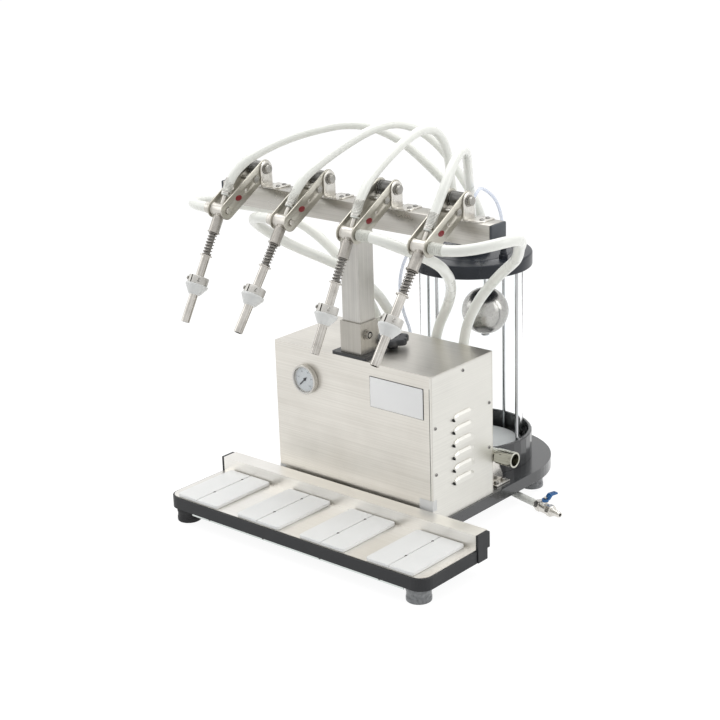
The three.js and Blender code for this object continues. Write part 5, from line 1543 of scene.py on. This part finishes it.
def valve():
    profile = [
        (valve_bore, 0), (0.0075, 0), (valve_end_radius, 0.001), (valve_end_radius, 0.004),
        (valve_neck_radius, 0.0045), (valve_neck_radius, 0.0138), (0.0094, body_start),
        (valve_body_radius, 0.017), (valve_body_radius, 0.031), (0.0094, body_end),
        (valve_neck_radius, 0.0345), (valve_neck_radius, 0.044), (0.008, 0.0445), (0.008, neck_end),
    ]
    for ridge in range(3):
        start = neck_end + ridge * 0.006
        profile += [(0.006, start + 0.0004), (0.006, start + 0.0012), (0.0046, start + 0.006)]
    profile += [(valve_bore, 0.065), (valve_bore, 0)]
    parts = [(moved(turned(profile, 0.0003), valve_along), nickel_plate)]
    nut = hex_head(valve_nut_radius, valve_nut_high)
    for start in (valve_nut_at, body_end):
        parts.append((moved(nut, valve_place @ placed((start, 0, 0), rightwards)), nickel_plate))
    for (radius, high, level), edge, steps in ((valve_stem, 0.0006, 32), (valve_pin, 0.0004, 20)):
        upright = rod(radius, high, edge, steps)
        parts.append((moved(upright, valve_place @ shift(stem_at, 0, level)), nickel_plate))
    radius, high, level = valve_cap
    parts.append((moved(hex_head(radius, high), valve_place @ shift(stem_at, 0, level)), screw_steel))
    make_piece("drain_valve", parts, "root", ["valve_body"])


valve()


lever_foot, lever_hub_high, lever_hub_radius, lever_hub_bore = 0.0133, 0.005, 0.0065, 0.0024
lever_sheet, lever_width, lever_end = 0.003, 0.011, 0.026
lever_rise, lever_crank = 0.007, 0.0065
rib_count, rib_half, rib_start, rib_wide, rib_pitch, rib_proud = 4, 0.004, 0.0145, 0.0008, 0.0028, 0.0003


def lever():
    top = lever_foot + lever_hub_high
    high = top + lever_rise
    bend = lever_crank + lever_rise
    side_line = [
        (0, top - lever_sheet), (lever_crank, top - lever_sheet), (bend, high - lever_sheet),
        (lever_end, high - lever_sheet), (lever_end, high), (bend - lever_sheet, high),
        (lever_crank - lever_sheet, top), (0, top),
    ]
    tab = cut_plate(side_line, [], lever_width, 0.0006)
    hub = hoop(lever_hub_bore, lever_hub_radius, 0, lever_hub_high)
    parts = [
        (moved(tab, valve_place @ shift(stem_at - lever_width / 2, 0, 0) @ across), lever_blue),
        (moved(turned(hub, 0.0005, 40), valve_place @ shift(stem_at, 0, lever_foot)), lever_blue),
    ]
    for k in range(rib_count):
        start = rib_start + k * rib_pitch
        x, z = (stem_at - rib_half, stem_at + rib_half), (high - rib_proud, high + rib_proud)
        rib = slab(x, (start, start + rib_wide), z, 0.0002)
        parts.append((moved(rib, valve_place), lever_blue))
    make_piece("drain_lever", parts, "valve_lever", ["valve_lever"])


lever()

# Hoses: each one smooth tube along its own route, with clips and cuffs where it is pushed on
# Milky silicone tube, 16 mm for vacuum and 18.6 mm for filling, clear thin tube for the air line.
# A hose that crosses moving pieces is made in lengths that join end to end, one length for each
# stretch between two of the pieces it runs past. The routes' points are in millimetres.
milky = plastic("milky", (0.88, 0.89, 0.83), (0.95, 0.955, 0.905), 0.24, 0.36, 300, 25, 0.00006, 0.2, 0.2)
milky_end = plastic(
    "milky_end", (0.52, 0.525, 0.47), (0.74, 0.745, 0.68), 0.2, 0.35, 300, 300, 0.0001, 0.3, 0.3,
)
air_blue = plastic("air_blue", (0.68, 0.75, 0.92), (0.80, 0.85, 0.96), 0.12, 0.2, 300, 30)
tune(air_blue, {"Alpha": 0.5})
clip_steel = steel("clip_steel", (0.46, 0.45, 0.42), (0.70, 0.685, 0.65), every_way, 0.16, 0.3)
ring_spacing = 0.004
hose_sides = 28
curve_steps = 16


# The centripetal curve through a list of points, resampled at an even spacing
def smooth_line(route, spacing):
    knots = [spot(x / 1000, y / 1000, z / 1000) for x, y, z in route]
    knots = [2 * knots[0] - knots[1], *knots, 2 * knots[-1] - knots[-2]]
    dense = []
    for before, start, end, after in zip(knots, knots[1:], knots[2:], knots[3:]):
        a, b, c = ((q - p).length ** 0.5 for p, q in ((before, start), (start, end), (end, after)))
        first = ((start - before) / a - (end - before) / (a + b) + (end - start) / b) * b
        second = ((end - start) / b - (after - start) / (b + c) + (after - end) / c) * b
        for k in range(curve_steps):
            t = k / curve_steps
            dense.append(
                start + first * t + (3 * (end - start) - 2 * first - second) * t ** 2
                + (2 * (start - end) + first + second) * t ** 3
            )
    dense.append(knots[-2])
    travelled = [0.0]
    for p, q in zip(dense, dense[1:]):
        travelled.append(travelled[-1] + (q - p).length)
    count = round(travelled[-1] / spacing)
    line, k = [], 0
    for step in range(count + 1):
        goal = travelled[-1] * step / count
        while k < len(dense) - 2 and travelled[k + 1] < goal:
            k += 1
        share = (goal - travelled[k]) / (travelled[k + 1] - travelled[k])
        line.append(dense[k].lerp(dense[k + 1], share))
    return line, travelled[-1] / count


def hose(name, route, radius, material, node, carriers, cuts):
    line, step = smooth_line(route, ring_spacing)
    sides = hose_sides
    points, faces = sweep(line, radius, sides, False)
    stations = [0, *(round(cut / step) for cut in cuts), len(line) - 1]
    for number, (start, end) in enumerate(zip(stations, stations[1:]), 1):
        own = points[start * sides:(end + 1) * sides]
        own_faces = faces[:(end - start) * sides]
        if start == 0:
            own_faces.append(tuple(range(sides)))
        if end == len(line) - 1:
            own_faces.append(tuple((end - start) * sides + s for s in range(sides)))
        carrier, other = carriers[number - 1]
        label = f"{name}_{number}" if len(carriers) > 1 else name
        body = None if other else carrier
        piece = make_piece(label, [((own, own_faces), material)], body, [node])
        outward = [(Vector(p) - line[start + k // sides]).normalized() for k, p in enumerate(own)]
        piece.data.normals_split_custom_set_from_vertices(outward)
        if other:
            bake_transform(piece)
    return line


vacuum_routes = [
    [
        (-225, 119.1, 596.9), (-225, 123, 604), (-224, 129, 616), (-218, 140, 635), (-207, 155, 652),
        (-192, 177, 667), (-167, 221, 685), (-141, 264, 696), (-112, 315, 701), (-87, 357, 692),
        (-60, 400, 665), (-30, 445, 615), (-4, 485, 560), (9, 504, 520), (13.1, 510.1, 491),
        (13.1, 510.1, 479.8),
    ],
    [
        (-75, 121.7, 595.2), (-75, 126, 601), (-74, 132, 611), (-71, 144, 628), (-67, 163, 645),
        (-61, 190, 660), (-48, 249, 686), (-35, 302, 703), (-22, 350, 706), (-8, 392, 690), (8, 432, 655),
        (24, 465, 605), (37, 492, 555), (43, 507, 517), (44.3, 510.1, 491), (44.3, 510.1, 479.8),
    ],
    [
        (75, 118.6, 597.2), (75, 122, 604), (74.5, 128, 615), (73, 140, 629), (70, 163, 649),
        (66, 192, 664), (59, 259, 691), (53, 320, 705), (48, 365, 699), (43, 400, 672), (36, 422, 635),
        (27, 440, 595), (19, 458, 552), (14, 474, 514), (13.1, 478.9, 491), (13.1, 478.9, 479.8),
    ],
    [
        (225, 121.8, 595.1), (225, 126, 601), (224.5, 134, 612), (223.5, 150, 631), (220, 175, 660),
        (212, 203, 682), (201, 235, 695), (186, 268, 696), (168, 300, 684), (148, 330, 660),
        (126, 362, 627), (102, 398, 590), (78, 432, 553), (56, 464, 520), (44.3, 478.9, 493),
        (44.3, 478.9, 479.8),
    ],
]
filling_routes = [
    [
        (-243.5, 106.1, 574), (-269.3, 106.1, 574), (-294, 112.9, 572.8), (-315.5, 127.3, 569.9),
        (-330.6, 147.7, 566), (-338.2, 172.3, 561.1), (-337.2, 197.6, 555.8), (-328.2, 221.9, 550.2),
        (-313.2, 242.2, 544.5), (-295.4, 260.1, 539.4), (-275, 274.7, 533.2), (-253, 286.3, 525.9),
        (-230.5, 295.2, 517), (-208.1, 302, 506), (-186.6, 307.7, 492.7), (-166.8, 313, 477),
        (-149.1, 318.8, 459.1), (-134, 325.7, 439.2), (-121.7, 334, 418.1), (-112.1, 343.5, 396),
        (-104.9, 353.5, 373.3), (-99.7, 363.2, 349.9), (-96.6, 372, 325.6), (-94.8, 375.3, 299.9),
        (-94.3, 376.4, 274.1), (-94.3, 376.3, 248.2), (-94.6, 375.3, 222.3), (-94.9, 374.5, 196.5),
        (-95, 374.4, 170.6), (-95, 374.4, 144.8),
    ],
    [
        (-93.5, 106.1, 574), (-115.8, 106.1, 574), (-137.2, 110.4, 571.3), (-156.3, 119.7, 565.6),
        (-171.6, 133.2, 556.8), (-181.9, 150.1, 545.9), (-186.2, 168.4, 533.2), (-185.1, 186.5, 520.1),
        (-180.8, 204, 507.2), (-173.4, 221, 495), (-163.1, 237.2, 483.8), (-150.8, 252.6, 473.6),
        (-137.2, 267.3, 463.8), (-123.2, 281.3, 453.8), (-109.3, 294.8, 442.9), (-96.3, 307.9, 430.5),
        (-84.7, 320.5, 416.2), (-75, 332.4, 400.2), (-67.4, 344.6, 382.4), (-61.9, 355.4, 363.2),
        (-58.2, 366.4, 343.4), (-56.4, 374.4, 322.7), (-55.1, 377.2, 300.5), (-54.8, 377.4, 278.1),
        (-54.7, 376.6, 255.9), (-54.7, 375.6, 233.7), (-54.8, 374.9, 211.5), (-54.9, 374.5, 189.2),
        (-55, 374.4, 167), (-55, 374.4, 144.8),
    ],
    [
        (93.5, 106.1, 574), (116.5, 106.1, 574), (137, 108.6, 570.8), (159.7, 116.5, 563.5),
        (177.3, 129, 554.7), (189.5, 145.3, 544.7), (195.8, 164.1, 533.4), (195.8, 184.8, 520.8),
        (190.1, 203.7, 509.1), (181.4, 221.5, 497.8), (172.2, 239.5, 486.7), (161.7, 257, 476.1),
        (150.3, 274.2, 465.8), (138.5, 291, 455.3), (126.5, 307.3, 444.2), (114.4, 322.7, 432),
        (102.3, 336.9, 418.5), (90.1, 349.2, 403.3), (77.6, 358.6, 386.5), (65.3, 364.6, 368.1),
        (53.6, 368.2, 348.7), (43.7, 372.5, 328), (37.3, 373.6, 305.7), (34.3, 373.2, 282.6),
        (33.1, 373.2, 259.6), (33.3, 373.2, 236.5), (33.7, 373.3, 213.4), (35, 373.3, 190.3),
        (34, 374.4, 167.7), (34, 374.4, 144.8),
    ],
    [
        (243.5, 106.1, 574), (269.2, 106.1, 574), (294, 112.6, 575.8), (315, 126.6, 578.8),
        (330.5, 146.9, 581.8), (338.8, 171.6, 582.9), (339.2, 197.4, 580.7), (332.5, 222, 574.1),
        (320.6, 242.2, 563.4), (305.9, 258.3, 549.1), (292.6, 273.9, 533.7), (277.4, 289.1, 519.4),
        (260.1, 303.2, 506.5), (241.8, 316.1, 493.9), (223.2, 327.9, 480.5), (204.6, 338.1, 465.9),
        (186.2, 346.8, 450), (168.4, 353.9, 432.8), (151.5, 359.5, 414.2), (136.1, 364, 394),
        (122.7, 367.4, 372.3), (112, 369.9, 349), (104.3, 372.9, 324.6), (99.7, 373.5, 299.2),
        (97.6, 374.2, 273.6), (97.2, 374.7, 247.8), (97.8, 374.9, 222), (98.6, 374.7, 196.3),
        (99, 374.4, 170.5), (99, 374.4, 144.8),
    ],
]
air_route = [
    (111.8, 482.5, 473.9), (111.8, 482.5, 497.3), (109.1, 482.2, 519.8), (106.3, 479, 541.4),
    (103.1, 470.6, 561.5), (101.2, 454.6, 577.5), (103.2, 434.4, 588.5), (110.6, 414.7, 594.4),
    (121.8, 396.2, 597), (131.4, 376.9, 596.2), (136, 359, 588.6), (131.2, 343.9, 576.6),
    (117.6, 335.6, 564.2), (98.4, 333.4, 553.3), (76.8, 335.7, 541.4), (57.7, 338.6, 529.1),
    (39.6, 341.7, 515.9), (22.4, 345.3, 501.6), (6.4, 349.5, 486.2), (-8.2, 353.9, 469.2),
    (-20.6, 358.4, 450.6), (-30.4, 362.6, 430.8), (-37.4, 367.2, 409.6), (-41.6, 372.4, 387.6),
    (-43.8, 379, 365), (-44.4, 386.4, 342.6), (-44, 395.6, 321.4), (-42.8, 400.3, 303.6),
    (-40.6, 397, 289.4), (-37.9, 387.3, 279.1), (-35.6, 374.7, 275), (-35, 367.2, 274.8),
]
drain_route = [
    (96.5, 468.1, 16), (101, 466.9, 16), (107, 465.3, 15.8), (114, 463.5, 15.5), (121, 461.7, 15),
    (129, 459.6, 14.3), (137, 457.8, 13.6), (145, 455.8, 12.9), (153, 453.9, 12.3), (162, 451.6, 11.9),
    (171, 449.4, 11.7), (180, 447.1, 11.6), (189, 444.8, 11.6), (199, 442.3, 11.6), (208, 440, 11.6),
    (217.3, 437.6, 11.6),
]
vacuum_hose_radius = 0.008
filling_hose_radius = 0.0093
air_hose_radius = 0.003
drain_hose_radius = 0.0068
vacuum_hose_cuts = (0.100, 0.210)
filling_hose_cuts = (0.200,)
clip_wire, clip_turns, clip_length, clip_gap = 0.0005, 12, 0.028, 0.0003
band_half, band_thick, band_tuck = 0.0018, 0.0007, 0.0002
cuff_at, cuff_start, cuff_tuck = 0.0184, 0.0004, 0.0004
sleeve_proud, sleeve_groove = 0.0012, 0.0006
rib_low, rib_high, cuff_rib_pitch = 0.0003, 0.0009, 0.0032


def vacuum_clip(number, line):
    radius = vacuum_hose_radius
    wound = coil(radius + clip_gap, clip_wire, clip_turns, 0.0, clip_length, 28)
    band = hoop(radius - band_tuck, radius + band_thick, -band_half, band_half)
    place = placed(line[1], (line[5] - line[0]).normalized())
    band_place = place @ shift(0, 0, clip_wire)
    parts = [(moved(wound, place), clip_steel), (moved(turned(band, 0.0002, 40), band_place), clip_steel)]
    make_piece(f"vacuum_clip_{number}", parts, f"head_{number}")


# Where a filling hose leaves its head: a short steel sleeve on the left, a ribbed cuff on the right
def filling_cuff(number, x, side):
    radius = filling_hose_radius
    inner, outer, groove = radius - cuff_tuck, radius + sleeve_proud, radius + sleeve_groove
    low, high = radius + rib_low, radius + rib_high
    if side < 0:
        profile = [
            (inner, cuff_start), (outer, cuff_start), (outer, 0.0050), (groove, 0.0054), (outer, 0.0058),
            (outer, 0.0130), (inner, 0.0134), (inner, cuff_start),
        ]
    else:
        profile = [(inner, cuff_start)]
        for rib in range(8):
            start = 0.001 + rib * cuff_rib_pitch
            profile += [(low, start), (high, start + 0.0008), (high, start + 0.0016), (low, start + 0.0024)]
        profile += [(inner, 0.0272), (inner, cuff_start)]
    start = spot(x + side * cuff_at, barrel_y, barrel_z)
    cuff = moved(revolve(profile), placed(start, (side, 0, 0)))
    material, slot = (turned_steel, "stainless") if side < 0 else (milky_end, "milky_hose")
    make_piece(f"filling_cuff_{number}", [(cuff, material)], f"arm_{number}")


for number, x, tilt, side in heads:
    spans = [(f"head_{number}", f"arm_{number}"), (f"arm_{number}", "mast"), ("mast", "root")]
    line = hose(
        f"vacuum_hose_run_{number}", vacuum_routes[number - 1], vacuum_hose_radius, milky,
        f"vacuum_hose_{number}", spans, vacuum_hose_cuts,
    )
    vacuum_clip(number, line)
    hose(
        f"filling_hose_run_{number}", filling_routes[number - 1], filling_hose_radius, milky,
        f"filling_hose_{number}", spans[1:], filling_hose_cuts,
    )
    filling_cuff(number, x, side)
on_root = [("root", None)]
hose("air_line", air_route, air_hose_radius, air_blue, "air_tube", on_root, ())
hose("drain_line", drain_route, drain_hose_radius, milky, "drain_hose", on_root, ())
